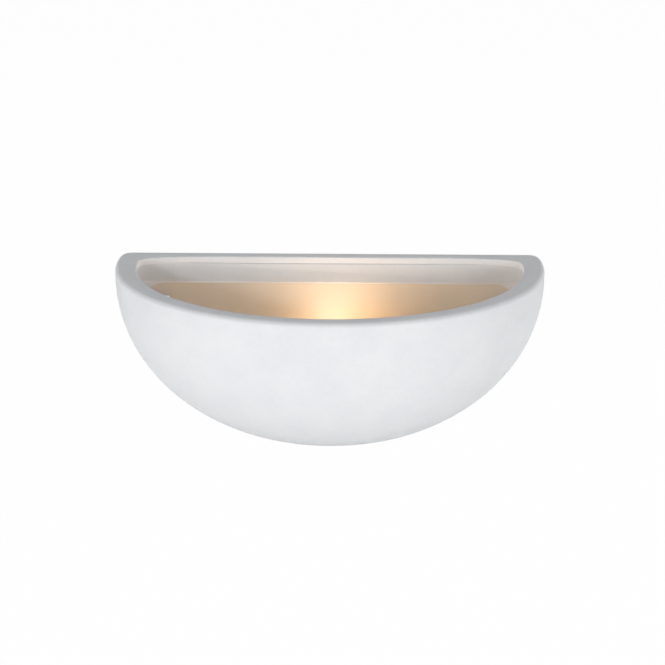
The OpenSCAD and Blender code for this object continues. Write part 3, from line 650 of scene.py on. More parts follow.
def prism(name: str, outline: Points, start: float, end: float, axes: str) -> Piece:
    """Carries a flat outline along the third axis.

    Args:
        name: the object's name.
        outline: points by 2, in the plane of the first two letters of axes.
        start: where the prism starts along the third letter's axis.
        end: where it ends.
        axes: such as "yzx".

    Returns:
        The object.
    """
    order = ["xyz".index(a) for a in axes]
    rows = np.zeros((2, len(outline), 3))
    rows[:, :, order[0]] = outline[:, 0]
    rows[:, :, order[1]] = outline[:, 1]
    rows[0, :, order[2]] = start
    rows[1, :, order[2]] = end
    return capped(name, rows)


def capped(name: str, rows: Points) -> Piece:
    """A closed solid from rings of points, with a flat face on the first and the last.

    Args:
        name: the object's name.
        rows: rings by points by 3.

    Returns:
        The object.
    """
    patches = Patches()
    patches.grid(rows, loop_cols=True)
    patches.face(rows[0])
    patches.face(rows[-1])
    return patches.object(name)


def turned(profile: Points, axis: tuple[float, float], sides: int,
           ripple: Points | float = 0.0) -> Points:
    """Carries a profile round an axis along X: each of its points turns a full circle.

    Args:
        profile: points by 2, the place along X and the radius.
        axis: Y and Z of the axis.
        sides: steps round the axis.
        ripple: points by sides, added to the radius.

    Returns:
        Points by sides by 3.
    """
    turn = np.linspace(0, 2 * math.pi, sides, endpoint=False)[None, :]
    radius = profile[:, 1:2] + ripple
    return np.stack(np.broadcast_arrays(
        profile[:, 0:1] + 0 * turn, radius * np.cos(turn) + axis[0],
        radius * np.sin(turn) + axis[1]), -1)


def lathe(name: str, profile: Points, axis: tuple[float, float], sides: int,
          sharp_deg: float = 40.0, hollow: bool = False,
          ripple: Points | float = 0.0) -> Piece:
    """Makes a turned piece about an axis along X.

    Args:
        name: the object's name.
        profile: points by 2, the place along X and the radius.
        axis: Y and Z of the axis.
        sides: steps round the axis.
        sharp_deg: edges that turn more than this stay sharp.
        hollow: whether the profile is a loop. If not, it starts and ends on the axis.
        ripple: points by sides, added to the radius.

    Returns:
        The object.
    """
    patches = Patches()
    patches.grid(turned(profile, axis, sides, ripple), loop_rows=hollow, loop_cols=True)
    return patches.object(name, sharp_deg)


def dress(piece: Piece, finish: Finish, body: Body, *nodes: str) -> None:
    """Gives a finished piece its material, its body and the nodes that it stands for.

    Args:
        piece: the piece.
        finish: its finish.
        body: the body that it rides on.
        nodes: names of the nodes that it replaces.
    """
    piece.data.materials.clear()
    piece.data.materials.append(finish.build())
    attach(piece, body.value)
    if nodes:
        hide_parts(*nodes)
    LOG.info("%s: %d faces, %s", piece.name, len(piece.data.polygons), finish.name)


def redress(finish: Finish, *nodes: str) -> None:
    """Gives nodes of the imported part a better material, and leaves their shapes.

    Args:
        finish: their finish.
        nodes: names of the nodes.
    """
    material = finish.build()
    for node in nodes:
        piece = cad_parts[node]
        if not piece.material_slots:
            piece.data.materials.append(material)
        for slot in piece.material_slots:
            slot.material = material
        LOG.info("%s: kept, %s", node, finish.name)


# ---- side screws -------------------------------------------------------------------------


@dataclass
class SideScrews:
    """The two screws that hang the bowl, with washers and nuts inside."""

    head_r: float = 3.8
    head_height: float = 2.6
    edge_r: float = 1.1
    shank_r: float = 2.0
    tip_bevel: float = 0.5
    slot_width: float = 1.0
    slot_depth: float = 1.2
    slot_half_length: float = 5.0
    pitch: float = 0.7
    thread_depth: float = 0.22
    crest_share: float = 0.35
    thread_from: float = 0.6
    plain: float = 2.4
    nut_height: float = 3.2
    past_nut: float = 1.6
    y: float = -16.0
    z: float = 30.0
    past_head: float = 2.0
    dome_points: int = 7
    sides: int = 48

    def screw(self, side: int, tail: float, end: float) -> Piece:
        """A pan head on a threaded shank, turned about X. Each turn of the thread is a ring
        with a sharp root and a crest that stands thread_depth higher.

        Args:
            side: 1 on the right, -1 on the left.
            tail: where the shank ends.
            end: the outer face of the head.

        Returns:
            The screw, without its slot.
        """
        seat = end - self.head_height
        dome = arc((end - self.edge_r, self.head_r - self.edge_r), self.edge_r, 90, 0,
                   self.dome_points)
        count = int((seat - tail - self.plain) / self.pitch)
        ridge = tail + self.thread_from + self.pitch * np.arange(count)
        thread = np.stack([
            np.stack([ridge, ridge + self.crest_share * self.pitch], -1).ravel(),
            np.tile([self.shank_r - self.thread_depth, self.shank_r], count)], -1)
        profile = np.vstack([[[tail, 0], [tail, self.shank_r - self.tip_bevel]], thread,
                             [[seat, self.shank_r], [seat, self.head_r]], dome, [[end, 0]]])
        profile[:, 0] *= side
        return lathe("side_screw", profile, (self.y, self.z), self.sides)

    def build(self) -> None:
        """Makes both screws as one piece, and dresses the washers and nuts."""
        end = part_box("side_screws")[1].x / MM
        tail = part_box("side_nuts")[1].x / MM - self.nut_height - self.past_nut
        half, reach = self.slot_width / 2, self.slot_half_length
        slot = rectangle(self.z - reach, self.z + reach, self.y - half, self.y + half)
        both = []
        for side in (-1, 1):
            cutter = prism("slot_cutter", slot, side * (end - self.slot_depth),
                           side * (end + self.past_head), "zyx")
            both.append(carve(self.screw(side, tail, end), [cutter], sharp_deg=30))
        dress(joined(both, "side_screw_pair", 34), SATIN_ENAMEL, Body.BOWL, "side_screws")
        redress(ZINC, "side_washers", "side_nuts")


# ---- bowl --------------------------------------------------------------------------------


@dataclass
class Bowl:
    """The ceramic half bowl, with its bar along the wall and its two side bosses."""

    screws: SideScrews
    half_width: float = 150.0
    half_depth: float = 105.0
    half_height: float = 124.0
    set_out: float = 20.0
    rim_z: float = 72.0
    widest_z: float = 65.0
    fullness: float = 2.05
    wall: float = 8.0
    back_gain: float = 5.0
    back_edge_r: float = 8.0
    back_edge_start: float = 1.28
    rim_edge_r: float = 3.0
    back_rim_r: float = 0.8
    inner_edge_r: float = 0.9
    base_row: float = 3.3
    lip_height: float = 4.5
    opening_half_width: float = 134.8
    opening_half_depth: float = 91.0
    opening_back: float = 17.8
    opening_power: float = 5.0
    bar_top: float = 7.2
    bar_reach: float = 12.0
    bar_height: float = 18.6
    bar_edge_r: float = 1.4
    groove: float = 0.5
    groove_bevel: float = 0.1
    rebate: float = 2.0
    rebate_half_width: float = 129.65
    rebate_top: float = 63.5
    rebate_bottom: float = 29.2
    gusset_r: float = 16.0
    gusset_x: float = 116.4
    boss_r: float = 7.0
    boss_edge: float = 0.8
    boss_edge_mid: float = 0.25
    boss_straight: float = 9.0
    boss_sunk: float = 2.0
    hole_r: float = 2.25
    hole_from: float = 90.0
    recess_r: float = 4.05
    flange_t: float = 1.2
    slide_fit: float = 0.3
    over: float = 1.0
    behind: float = 9.0
    beyond: float = 170.0
    around: int = 240
    down: int = 72
    newton_steps: int = 5
    back_steps: int = 60
    back_edge_rows: int = 11
    rim_edge_rows: int = 9
    inner_edge_rows: int = 7
    foot_points: int = 13
    gusset_points: int = 17
    plan_fine: int = 4000
    plan_points: int = 400
    sharp_deg: float = 34.0

    def quarter(self, a: float, b: float, c: float, set_out: float, top: float, back: float,
                power: float = 2.0, full: bool = False) -> Points:
        """Part of a slightly squared ellipsoid, seen from a point on its cut.

        The form is scaled to half widths of 1. From the point (0, back, top) inside it, rays
        run at equal steps of azimuth, and of drop from level to straight down. Each ends
        where the powers of its three coordinates add up to 1. That length starts as the
        ball's, which solves a quadratic, and Newton's steps bring it to the power asked for.

        Args:
            a: half width.
            b: half depth.
            c: half height.
            set_out: distance of the centre from the wall.
            top: height of the level cut above the centre.
            back: distance of the upright cut behind the centre.
            power: 2 for an ellipsoid, more for a fuller form.
            full: all round instead of the half away from the wall.

        Returns:
            Points, from the level cut down to the pole.
        """
        azimuth = np.linspace(0, (2 if full else 1) * math.pi, self.around + 1)[None, :]
        drop = np.linspace(0, math.pi / 2, self.down + 1)[:, None]
        ray = np.stack(np.broadcast_arrays(np.cos(azimuth) * np.cos(drop),
                                           -np.sin(azimuth) * np.cos(drop),
                                           -np.sin(drop)), -1)
        start = np.array([0, back / b, top / c])
        toward = ray @ start
        length = np.sqrt(toward ** 2 + 1 - start @ start) - toward
        for _ in range(self.newton_steps):
            reached = start + length[..., None] * ray
            excess = (np.abs(reached) ** power).sum(-1) - 1
            slope = (power * np.sign(reached) * np.abs(reached) ** (power - 1) * ray).sum(-1)
            length = length - excess / slope
        reached = start + length[..., None] * ray
        return reached * (a, b, c) + (0, -set_out, self.widest_z)

    def outer(self) -> Piece:
        """The solid outer form: ellipsoid, back edge strip, rim strip, and two flat faces.

        Returns:
            The object.
        """
        lean = math.asin(1 - (self.back_edge_r - self.back_edge_start) / self.back_edge_r)
        back_y = -self.back_edge_r * (1 - math.sin(lean))
        top = self.rim_z - self.base_row - self.widest_z
        shell = self.quarter(self.half_width, self.half_depth, self.half_height,
                             self.set_out, top, back_y + self.set_out, self.fullness)
        patches = Patches()
        patches.grid(shell)

        # Back edge: a quarter round carried along the curve where the shell stops short of
        # the wall, square to that curve in the wall's plane
        edge = np.vstack([shell[:, 0], shell[-2::-1, -1]])
        across = edge[:, 0] / self.half_width
        rise = (edge[:, 2] - self.widest_z) / self.half_height
        steep = self.fullness - 1
        out = unit(np.stack([np.sign(across) * np.abs(across) ** steep / self.half_width,
                             np.zeros(len(edge)),
                             np.sign(rise) * np.abs(rise) ** steep / self.half_height], -1))
        beta = np.linspace(lean, math.pi / 2, self.back_edge_rows)[:, None, None]
        inset = self.back_edge_r * (np.cos(beta) - math.cos(lean))
        strip = edge[None] + inset * out[None]
        strip[..., 1] = -self.back_edge_r * (1 - np.sin(beta[..., 0]))
        patches.grid(strip)

        # Rim edge: a quarter round carried along the closed loop of shell, corners and back.
        # Its radius shrinks round the corners, from the shell's to the back's
        left, right = strip[1:, -1], strip[::-1, 0][:-1]
        share = np.linspace(0, 1, self.back_steps + 2)[1:-1, None]
        back = left[-1] * (1 - share) + right[0] * share
        base = np.vstack([shell[0], left, back, right])
        normal = outward(base[:, :2])
        shrink = (self.back_rim_r - self.rim_edge_r) * np.linspace(0, 1, len(left))
        radius = np.concatenate([
            np.full(len(shell[0]), self.rim_edge_r), self.rim_edge_r + shrink,
            np.full(self.back_steps, self.back_rim_r), self.back_rim_r - shrink])
        alpha = np.linspace(0, math.pi / 2, self.rim_edge_rows)[:, None]
        rim = np.repeat(base[None], len(alpha), 0)
        rim[..., :2] -= (radius * (1 - np.cos(alpha)))[..., None] * normal
        rim[..., 2] = self.rim_z - radius * (1 - np.sin(alpha))
        patches.grid(np.concatenate([base[None], rim]), loop_cols=True)
        patches.face(rim[-1])
        patches.face(np.vstack([strip[-1], back]))
        return patches.object("bowl")

    def opening_outline(self) -> Points:
        """The opening's plan: half an ellipse in front, a squarer curve of power 5 behind.

        Returns:
            Points by 2, at equal distances along the curve.
        """
        turn = np.linspace(0, 2 * math.pi, self.plan_fine)
        power = 2 / self.opening_power
        flat_x = np.sign(np.cos(turn)) * np.abs(np.cos(turn)) ** power
        flat_y = -np.sign(np.sin(turn)) * np.abs(np.sin(turn)) ** power
        front = turn <= math.pi
        x = self.opening_half_width * np.where(front, np.cos(turn), flat_x)
        y = np.where(front, -self.opening_half_depth * np.sin(turn),
                     self.opening_back * flat_y)
        line = np.stack([x, y - self.set_out - self.back_gain], -1)
        step = travelled(line)
        even = np.linspace(0, step[-1], self.plan_points + 1)[:-1]
        return np.stack([np.interp(even, step, line[:, i]) for i in (0, 1)], -1)

    def opening(self) -> Piece:
        """The opening's solid, which flares at the top and so rounds the rim's inner edge.

        Returns:
            The cutter.
        """
        line = self.opening_outline()
        alpha = np.linspace(0, math.pi / 2, self.inner_edge_rows)
        rise = np.concatenate([[-self.lip_height - self.over],
                               self.inner_edge_r * (np.sin(alpha) - 1), [self.over]])
        flare = np.concatenate([[0], self.inner_edge_r * (1 - np.cos(alpha)),
                                [self.inner_edge_r]])
        rows = np.zeros((len(rise), len(line), 3))
        rows[..., :2] = line[None] + flare[:, None, None] * outward(line)[None]
        rows[..., 2] = self.rim_z + rise[:, None]
        return capped("opening_cutter", rows)

    def bar(self) -> Piece:
        """The bar along the wall: lip, groove, and a sloping face tangent to its round foot.

        The slope leaves the groove at the angle of the line to the foot's centre less
        asin(radius / distance), and meets the foot square to its radius.

        Returns:
            The bar as a solid, to be left out of the cavity.
        """
        centre = (-self.bar_reach + self.bar_edge_r, -self.bar_height + self.bar_edge_r)
        seam = -self.lip_height - self.groove
        ledge = (-self.bar_top - self.groove_bevel, seam - self.groove_bevel)
        step = np.array(centre) - ledge
        spread = math.asin(self.bar_edge_r / math.hypot(*step))
        slope = math.degrees(math.atan2(step[1], step[0]) - spread)
        foot = arc(centre, self.bar_edge_r, slope - 90 + 360, 270,
                   self.foot_points)
        inside = self.over + self.behind
        outline = np.vstack([
            [[inside, self.over], [-self.bar_top, self.over],
             [-self.bar_top, -self.lip_height + 2 * self.groove_bevel],
             [-self.bar_top + self.groove, -self.lip_height + self.groove_bevel],
             [-self.bar_top + self.groove, seam], ledge],
            foot, [[inside, -self.bar_height]]])
        outline[:, 1] += self.rim_z
        return prism("bar", outline, -self.beyond, self.beyond, "yzx")

    def gusset(self, side: int) -> Piece:
        """Fills the corner between the bar and the shell's side, with a hollow round face.

        Args:
            side: 1 on the right, -1 on the left.

        Returns:
            The gusset as a solid, to be left out of the cavity.
        """
        corner_z = self.rim_z - self.bar_height - self.gusset_r
        round_face = arc((self.gusset_x, corner_z), self.gusset_r, 90, 0,
                         self.gusset_points)
        far = self.gusset_x + 2 * self.gusset_r
        high = self.rim_z - self.bar_height + self.over
        outline = np.vstack([round_face, [[far, corner_z], [far, high],
                                          [self.gusset_x, high]]])
        outline[:, 0] *= side
        return prism("gusset", outline, -self.bar_reach + self.bar_edge_r,
                     self.over + self.behind, "xzy")

    def about_screw(self, name: str, side: int, profile: list[list[float]]) -> Piece:
        """Turns a profile of places along X and radii about a side screw's axis."""
        rows = np.array(profile, float) * (side, 1)
        return lathe(name, rows, (self.screws.y, self.screws.z), self.screws.sides)

    def boss(self, side: int, start: float) -> Piece:
        """The round boss that a side screw passes through, inside the shell.

        Args:
            side: 1 on the right, -1 on the left.
            start: its face towards the middle of the bowl.

        Returns:
            The boss as a solid, to be left out of the cavity.
        """
        edge, mid, radius = self.boss_edge, self.boss_edge_mid, self.boss_r
        end = self.half_width + self.boss_sunk
        return self.about_screw("boss", side, [
            [start, 0], [start, radius - edge], [start + mid, radius - mid],
            [start + edge, radius], [start + self.boss_straight, radius], [end, radius],
            [end, 0]])

    def screw_hole(self, side: int, seat: float) -> Piece:
        """The clearance hole of a side screw and the recess for its head, from its seat."""
        return self.about_screw("hole_cutter", side, [
            [self.hole_from, 0], [self.hole_from, self.hole_r], [seat, self.hole_r],
            [seat, self.recess_r], [self.beyond, self.recess_r], [self.beyond, 0]])

    def cavity(self, boss_start: float) -> Piece:
        """The bowl's hollow: a smaller ellipsoid, less what stands inside the shell.

        Args:
            boss_start: the bosses' face towards the middle of the bowl.

        Returns:
            The cutter.
        """
        inner = self.quarter(self.half_width - self.wall,
                             self.half_depth - self.wall - self.back_gain,
                             self.half_height - self.wall, self.set_out + self.back_gain,
                             self.rim_z - self.lip_height - self.widest_z, 0.0, full=True)
        patches = Patches()
        patches.grid(inner)
        patches.face(inner[0, :-1])
        cavity = patches.object("cavity_cutter")
        left_in = [self.bar(), self.gusset(-1), self.gusset(1)]
        return carve(cavity, left_in + [self.boss(side, boss_start) for side in (-1, 1)])

    def build(self) -> None:
        """Makes the bowl: outer form, less the cavity, the opening, the rebate and holes."""
        boss_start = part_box("side_washers")[1].x / MM + self.flange_t + 2 * self.slide_fit
        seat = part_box("side_screws")[1].x / MM - self.screws.head_height
        rebate = prism("rebate_cutter", rectangle(-self.rebate_half_width,
                                                  self.rebate_half_width, self.rebate_bottom,
                                                  self.rebate_top),
                       -self.rebate, self.behind, "xzy")
        cutters = [self.cavity(boss_start), self.opening(), rebate]
        cutters += [self.screw_hole(side, seat) for side in (-1, 1)]
        bowl = carve(self.outer(), cutters, self.sharp_deg)
        dress(bowl, BISQUE, Body.BOWL, "bowl_shell")


# ---- plate and leads ---------------------------------------------------------------------


@dataclass
class Plate:
    """The steel back plate with its grommet, earth stud, terminal block and bracket."""

    def build(self) -> None:
        """Dresses the nodes, whose shapes are right as they are."""
        redress(POWDER_COAT, "back_plate")
        redress(RUBBER, "cable_grommet")
        redress(TINNED, "earth_tag")
        redress(NYLON, "terminal_block")
        redress(BRASS, "earth_nut", "terminal_inserts")
        redress(ZINC, "earth_stud", "earth_washer", "terminal_screws", "block_screws",
                "holder_bracket", "bracket_rivets")


@dataclass
class Leads:
    """The three internal leads. Their routes repeat the part's own, point by point."""

    radius: float = 1.2
    sides: int = 20
    steps: int = 10
    nipple_end: float = 80.3

    def routes(self) -> dict[str, tuple[Points, Finish]]:
        """Points along each lead, in millimetres, and its sheath.

        Returns:
            A route and a finish by node.
        """
        end = self.nipple_end
        live = [[-60, -8.5, -16], [-60, -8.6, -19.5], [-56, -9, -23.5], [-46, -9, -25.5],
                [-30, -9, -26], [0, -9, -25], [30, -9, -21], [52, -12, -15],
                [end - 10, -20, -9], [end + 4, -32, -2], [end + 11, -40, 6],
                [end + 9.7, -43.5, 13], [end + 2.5, -44, 15.6], [72, -44, 15.6],
                [68.5, -44, 16.4], [65.5, -44, 19.6], [63, -44, 20]]
        neutral = [[-48, -8.5, -16], [-48, -8.6, -18], [-44.5, -9, -21.5], [-36, -9, -22.8],
                   [-18, -9, -22.6], [0, -9, -21.6], [29, -9, -17.7], [50, -12, -11.8],
                   [end - 13, -20, -5.8], [end - 0.5, -31, 0.5], [end + 6.2, -39, 6],
                   [end + 5.7, -43.5, 10.5], [end + 2.5, -44, 12.4], [72, -44, 12.4],
                   [68.5, -44, 11.6], [65.5, -44, 8.4], [63, -44, 8]]
        earth = [[-36, -8.5, -16], [-36, -8.6, -17.8], [-33, -8.3, -19.3],
                 [-27, -7.5, -18.4], [-21, -6, -15.4], [-17, -4.6, -12.8], [-12, -4, -12]]
        return {"live_lead": (np.array(live, float), BROWN_SHEATH),
                "neutral_lead": (np.array(neutral, float), BLUE_SHEATH),
                "earth_lead": (np.array(earth, float), EARTH_SHEATH)}

    def curve(self, route: Points) -> Points:
        """A smooth curve through the route: each stretch is a cubic whose slope at a point is
        half the step between its neighbours.

        Args:
            route: points by 3.

        Returns:
            More points by 3.
        """
        padded = np.vstack([route[:1], route, route[-1:]])
        t = np.linspace(0, 1, self.steps, endpoint=False)[None, :, None]
        a, b, c, d = (padded[i:len(padded) - 3 + i, None] for i in range(4))
        path = 0.5 * (2 * b + (c - a) * t + (2 * a - 5 * b + 4 * c - d) * t ** 2
                      + (3 * b - a - 3 * c + d) * t ** 3)
        return np.vstack([path.reshape(-1, 3), route[-1:]])

    def tube(self, name: str, path: Points) -> Piece:
        """A round tube: a circle square to the path, carried along it, with U round it and V
        along it in millimetres.

        Args:
            name: the object's name.
            path: points by 3.

        Returns:
            The object.
        """
        tangent = unit(np.gradient(path, axis=0))
        side = unit(np.cross([0.1, -1, 0.05], tangent))
        up = np.cross(tangent, side)
        turn = np.linspace(0, 2 * math.pi, self.sides + 1)[None, :, None]
        points = path[:, None] + self.radius * (np.cos(turn) * side[:, None]
                                                + np.sin(turn) * up[:, None])
        patches = Patches()
        patches.grid(points)
        patches.face(points[0, :-1])
        patches.face(points[-1, :-1])
        piece = patches.object(name)
        self.unwrap(piece, path, side, up)
        return piece

    @staticmethod
    def unwrap(piece: Piece, path: Points, side: Points, up: Points) -> None:
        """Writes the UV map: each corner finds the nearest path point and its turn round it.

        A face that crosses the start of the turn gets corners past 1 instead of near 0.

        Args:
            piece: the lead.
            path: points by 3 along its middle.
            side: where the turn is 0, at each point of the path.
            up: where the turn is a quarter.
        """
        mesh = piece.data
        places = np.empty(len(mesh.vertices) * 3)
        mesh.vertices.foreach_get("co", places)
        places = places.reshape(-1, 3) / MM
        nearest = np.linalg.norm(places[:, None] - path[None], axis=2).argmin(1)
        away = places - path[nearest]
        turn = np.arctan2((away * up[nearest]).sum(1), (away * side[nearest]).sum(1))
        corner = np.empty(len(mesh.loops), int)
        mesh.loops.foreach_get("vertex_index", corner)
        around = turn[corner] / (2 * math.pi) % 1.0
        starts = np.empty(len(mesh.polygons), int)
        totals = np.empty(len(mesh.polygons), int)
        mesh.polygons.foreach_get("loop_start", starts)
        mesh.polygons.foreach_get("loop_total", totals)
        face_of = np.repeat(np.arange(len(starts)), totals)
        high = np.maximum.reduceat(around, starts)
        around = np.where(high[face_of] - around > 0.5, around + 1, around)
        along = travelled(path)[nearest[corner]]
        layer = mesh.uv_layers.new(name="UVMap")
        layer.data.foreach_set("uv", np.stack([around, along], -1).ravel())

    def build(self) -> None:
        """Makes each lead in place of its node."""
        for node, (route, finish) in self.routes().items():
            piece = self.tube(node + "_sheath", self.curve(route))
            dress(piece, finish, Body.BASE, node)


# ---- lampholder and lamp -----------------------------------------------------------------


@dataclass
class Lampholder:
    """Rear cup, ribbed front sleeve, porcelain insert and brass contacts, about one axis."""

    axis: tuple[float, float] = (-44.0, 14.0)
    radius: float = 14.0
    wall: float = 1.8
    front: float = 2.0
    bevel: float = 0.3
    edge_r: float = 1.2
    mouth_r: float = 8.55
    collar: float = 2.6
    rib_from: float = 3.4
    rib_margin: float = 3.0
    rib_depth: float = 0.45
    rib_power: float = 0.7
    rib_fade: float = 8.0
    rib_rows: int = 15
    ribs: int = 30
    steps_per_rib: int = 8
    rounding_points: int = 8
    cup_sides: int = 96
    cup_edge_r: float = 1.8
    cup_hole_r: float = 5.05
    cup_wall: float = 2.0
    band_from: float = 4.0
    band_to: float = 6.5

    def sleeve(self) -> None:
        """The front sleeve: a lipped tube, with ribs from a sine that fade at both ends."""
        start, end = (corner.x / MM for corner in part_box("holder_sleeve"))
        radius, bevel, collar = self.radius, self.bevel, self.collar
        rounding = arc((start + self.edge_r, radius - self.edge_r), self.edge_r, 180, 90,
                       self.rounding_points)
        lengthwise = np.linspace(start + self.rib_from, end - self.rib_from, self.rib_rows)
        outside = np.stack([lengthwise, np.full(self.rib_rows, radius)], -1)
        profile = np.vstack([
            [[start, self.mouth_r + bevel]], rounding, [[start + collar, radius]], outside,
            [[end - collar, radius], [end - bevel, radius], [end, radius - bevel],
             [end, radius - self.wall], [start + self.front, radius - self.wall],
             [start + self.front, self.mouth_r], [start + bevel, self.mouth_r]]])
        sides = self.ribs * self.steps_per_rib
        turn = np.linspace(0, 2 * math.pi, sides, endpoint=False)
        wave = -self.rib_depth * (0.5 - 0.5 * np.cos(self.ribs * turn)) ** self.rib_power
        place = np.abs(profile[:, 0] - (start + end) / 2)
        place /= (end - start) / 2 - self.rib_margin
        on_wall = profile[:, 1] > radius - bevel / 2
        fade = np.clip((1.0 - place) * self.rib_fade, 0, 1) * on_wall
        piece = lathe("holder_sleeve_ribbed", profile, self.axis, sides, 50, True,
                      fade[:, None] * wave[None, :])
        dress(piece, THERMOSET, Body.BASE, "holder_sleeve")

    def cup(self) -> None:
        """The rear cup: a closed tube with a rounded back edge and a shallow grip band."""
        start, end = (corner.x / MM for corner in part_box("holder_base"))
        radius, bevel, edge = self.radius, self.bevel, self.cup_edge_r
        inner, low = radius - self.wall, radius - bevel
        profile = np.vstack([
            [[start, inner], [start, low], [start + bevel, radius],
             [start + self.band_from, radius], [start + self.band_from + bevel, low],
             [start + self.band_to - bevel, low], [start + self.band_to, radius]],
            arc((end - edge, radius - edge), edge, 90, 0, self.rounding_points),
            [[end, self.cup_hole_r], [end - self.cup_wall, self.cup_hole_r],
             [end - self.cup_wall, inner]]])
        piece = lathe("holder_cup", profile, self.axis, self.cup_sides, 32, True)
        dress(piece, THERMOSET, Body.BASE, "holder_base")

    def build(self) -> None:
        """Makes the two shells and dresses the rest."""
        self.sleeve()
        self.cup()
        redress(PORCELAIN, "holder_core")
        redress(BRASS, "holder_screw_shell", "holder_centre_contact", "holder_clamps",
                "nipple_nut")
        redress(ZINC, "holder_clamp_screws", "nipple", "nipple_washer")


@dataclass
class Lamp:
    """The globe lamp: opal glass, rolled cap with its thread, stem, filament and tip."""

    holder: Lampholder
    globe_r: float = 22.5
    neck_r: float = 5.75
    neck_blend_r: float = 6.0
    cap_start: float = 29.5
    cap_end: float = 51.0
    neck_in: float = 4.0
    front_bevel: tuple[float, float] = (0.4, 0.25)
    back_curl: float = 0.6
    hem_inset: float = 0.9
    seam: float = 0.05
    thread_l: float = 13.0
    thread_r: float = 6.55
    thread_ecc: float = 0.4
    thread_rows: int = 120
    thread_rise: float = 0.6
    thread_end: float = 0.5
    collar_r: float = 7.15
    skin: float = 0.2
    pitch: float = 2.822
    sides: int = 72
    globe_sides: int = 96
    globe_points: int = 60
    flare_points: int = 14

    def globe_profile(self) -> Points:
        """Half outline of the globe: an arc, a hollow arc into the neck, and the neck.

        Returns:
            Points by 2, the place along X and the radius.
        """
        radius, neck, blend = self.globe_r, self.neck_r, self.neck_blend_r
        reach = math.sqrt((radius + blend) ** 2 - (neck + blend) ** 2)
        meet = math.degrees(math.atan2(neck + blend, reach))
        ball = arc((0, 0), radius, 180, meet, self.globe_points)
        ball[0, 1] = 0
        flare = arc((reach, neck + blend), blend, 180 + meet, 270, self.flare_points)
        end = self.cap_start + self.neck_in
        return np.vstack([ball, flare[1:], [[end, neck], [end, 0]]])

    def cap(self) -> None:
        """The rolled cap. Its radius is the mean plus a wave whose crest climbs by one pitch
        a turn, and it fades to the plain collar in front."""
        thread_start = self.cap_end - self.thread_l
        along = np.concatenate([
            [self.cap_start, self.cap_start + self.front_bevel[0],
             thread_start - self.thread_rise],
            np.linspace(thread_start, self.cap_end - self.thread_end, self.thread_rows),
            [self.cap_end, self.cap_end]])
        mean = np.where(along < thread_start - self.thread_rise / 2,
                        self.collar_r - self.skin, self.thread_r)
        mean[0] -= self.front_bevel[1]
        mean[-2] -= self.back_curl
        mean[-1] = self.neck_r - self.hem_inset
        # On the lamp's axis the screw's own angle runs from -Z towards -Y
        turn = np.linspace(0, 2 * math.pi, self.sides, endpoint=False)[None, :]
        own = np.arctan2(np.cos(turn), -np.sin(turn))
        wave = self.thread_ecc * np.cos(own - 2 * math.pi * (along[:, None] - thread_start)
                                        / self.pitch)
        fade = ((along >= thread_start) & (along < self.cap_end)).astype(float)
        shell = turned(np.stack([along, mean], -1), self.holder.axis, self.sides,
                       fade[:, None] * wave)
        # The way back inside, from the back ring by the neck to the front ring
        neck = turned(np.array([[self.cap_start, self.neck_r + self.seam]]), self.holder.axis,
                      self.sides)
        patches = Patches()
        patches.grid(shell, loop_cols=True)
        patches.grid(np.stack([shell[-1], neck[0], shell[0]]), loop_cols=True)
        dress(patches.object("lamp_cap_rolled", 50), CAP_ALUMINIUM, Body.LAMP, "lamp_cap")

    def build(self) -> None:
        """Makes the globe and the cap and dresses the small parts. The globe has no inner
        face, because its glow hides it."""
        globe = lathe("lamp_globe", self.globe_profile(), self.holder.axis,
                      self.globe_sides)
        dress(globe, OPAL_GLASS, Body.LAMP, "lamp_glass")
        self.cap()
        redress(CLEAR_GLASS, "lamp_stem")
        redress(TUNGSTEN, "lamp_filament")
        redress(VITRITE, "lamp_insulator")
        redress(SOLDER, "lamp_contact_tip")


# ---- studio ------------------------------------------------------------------------------


def stand(name: str, data: bpy.types.ID, matrix: Matrix) -> Piece:
    """Puts a lamp or a camera into the scene, with its place in metres."""
    thing = bpy.data.objects.new(name, data)
    thing.matrix_world = matrix
    bpy.context.scene.collection.objects.link(thing)
    return thing


@dataclass(frozen=True)
class Softbox:
    """A rectangular lamp that looks at the object. Metres and watts."""

    name: str
    place: tuple[float, float, float]
    size: tuple[float, float]
    watts: float
    aim: tuple[float, float, float] = (0.0, -0.05, 0.02)

    def build(self) -> None:
        """Adds the lamp."""
        data = bpy.data.lights.new(self.name, "AREA")
        data.shape = "RECTANGLE"
        data.size, data.size_y = self.size
        data.energy = self.watts
        place = Vector(self.place)
        toward = (Vector(self.aim) - place).to_track_quat("-Z", "Y")
        stand(self.name, data, Matrix.Translation(place) @ toward.to_matrix().to_4x4())


@dataclass(frozen=True)
class BowlGlow:
    """A small warm light below the bowl's sight line, for the lamp's light that the white
    clay throws about. Millimetres and watts."""

    name: str
    place: tuple[float, float, float]
    watts: float
    radius: float = 12.0
    colour: str = "ffcb90"

    def build(self) -> None:
        """Adds the light."""
        data = bpy.data.lights.new(self.name, "POINT")
        data.energy = self.watts
        data.color = linear(self.colour)[:3]
        data.shadow_soft_size = self.radius * MM
        stand(self.name, data, Matrix.Translation(Vector(self.place) * MM))


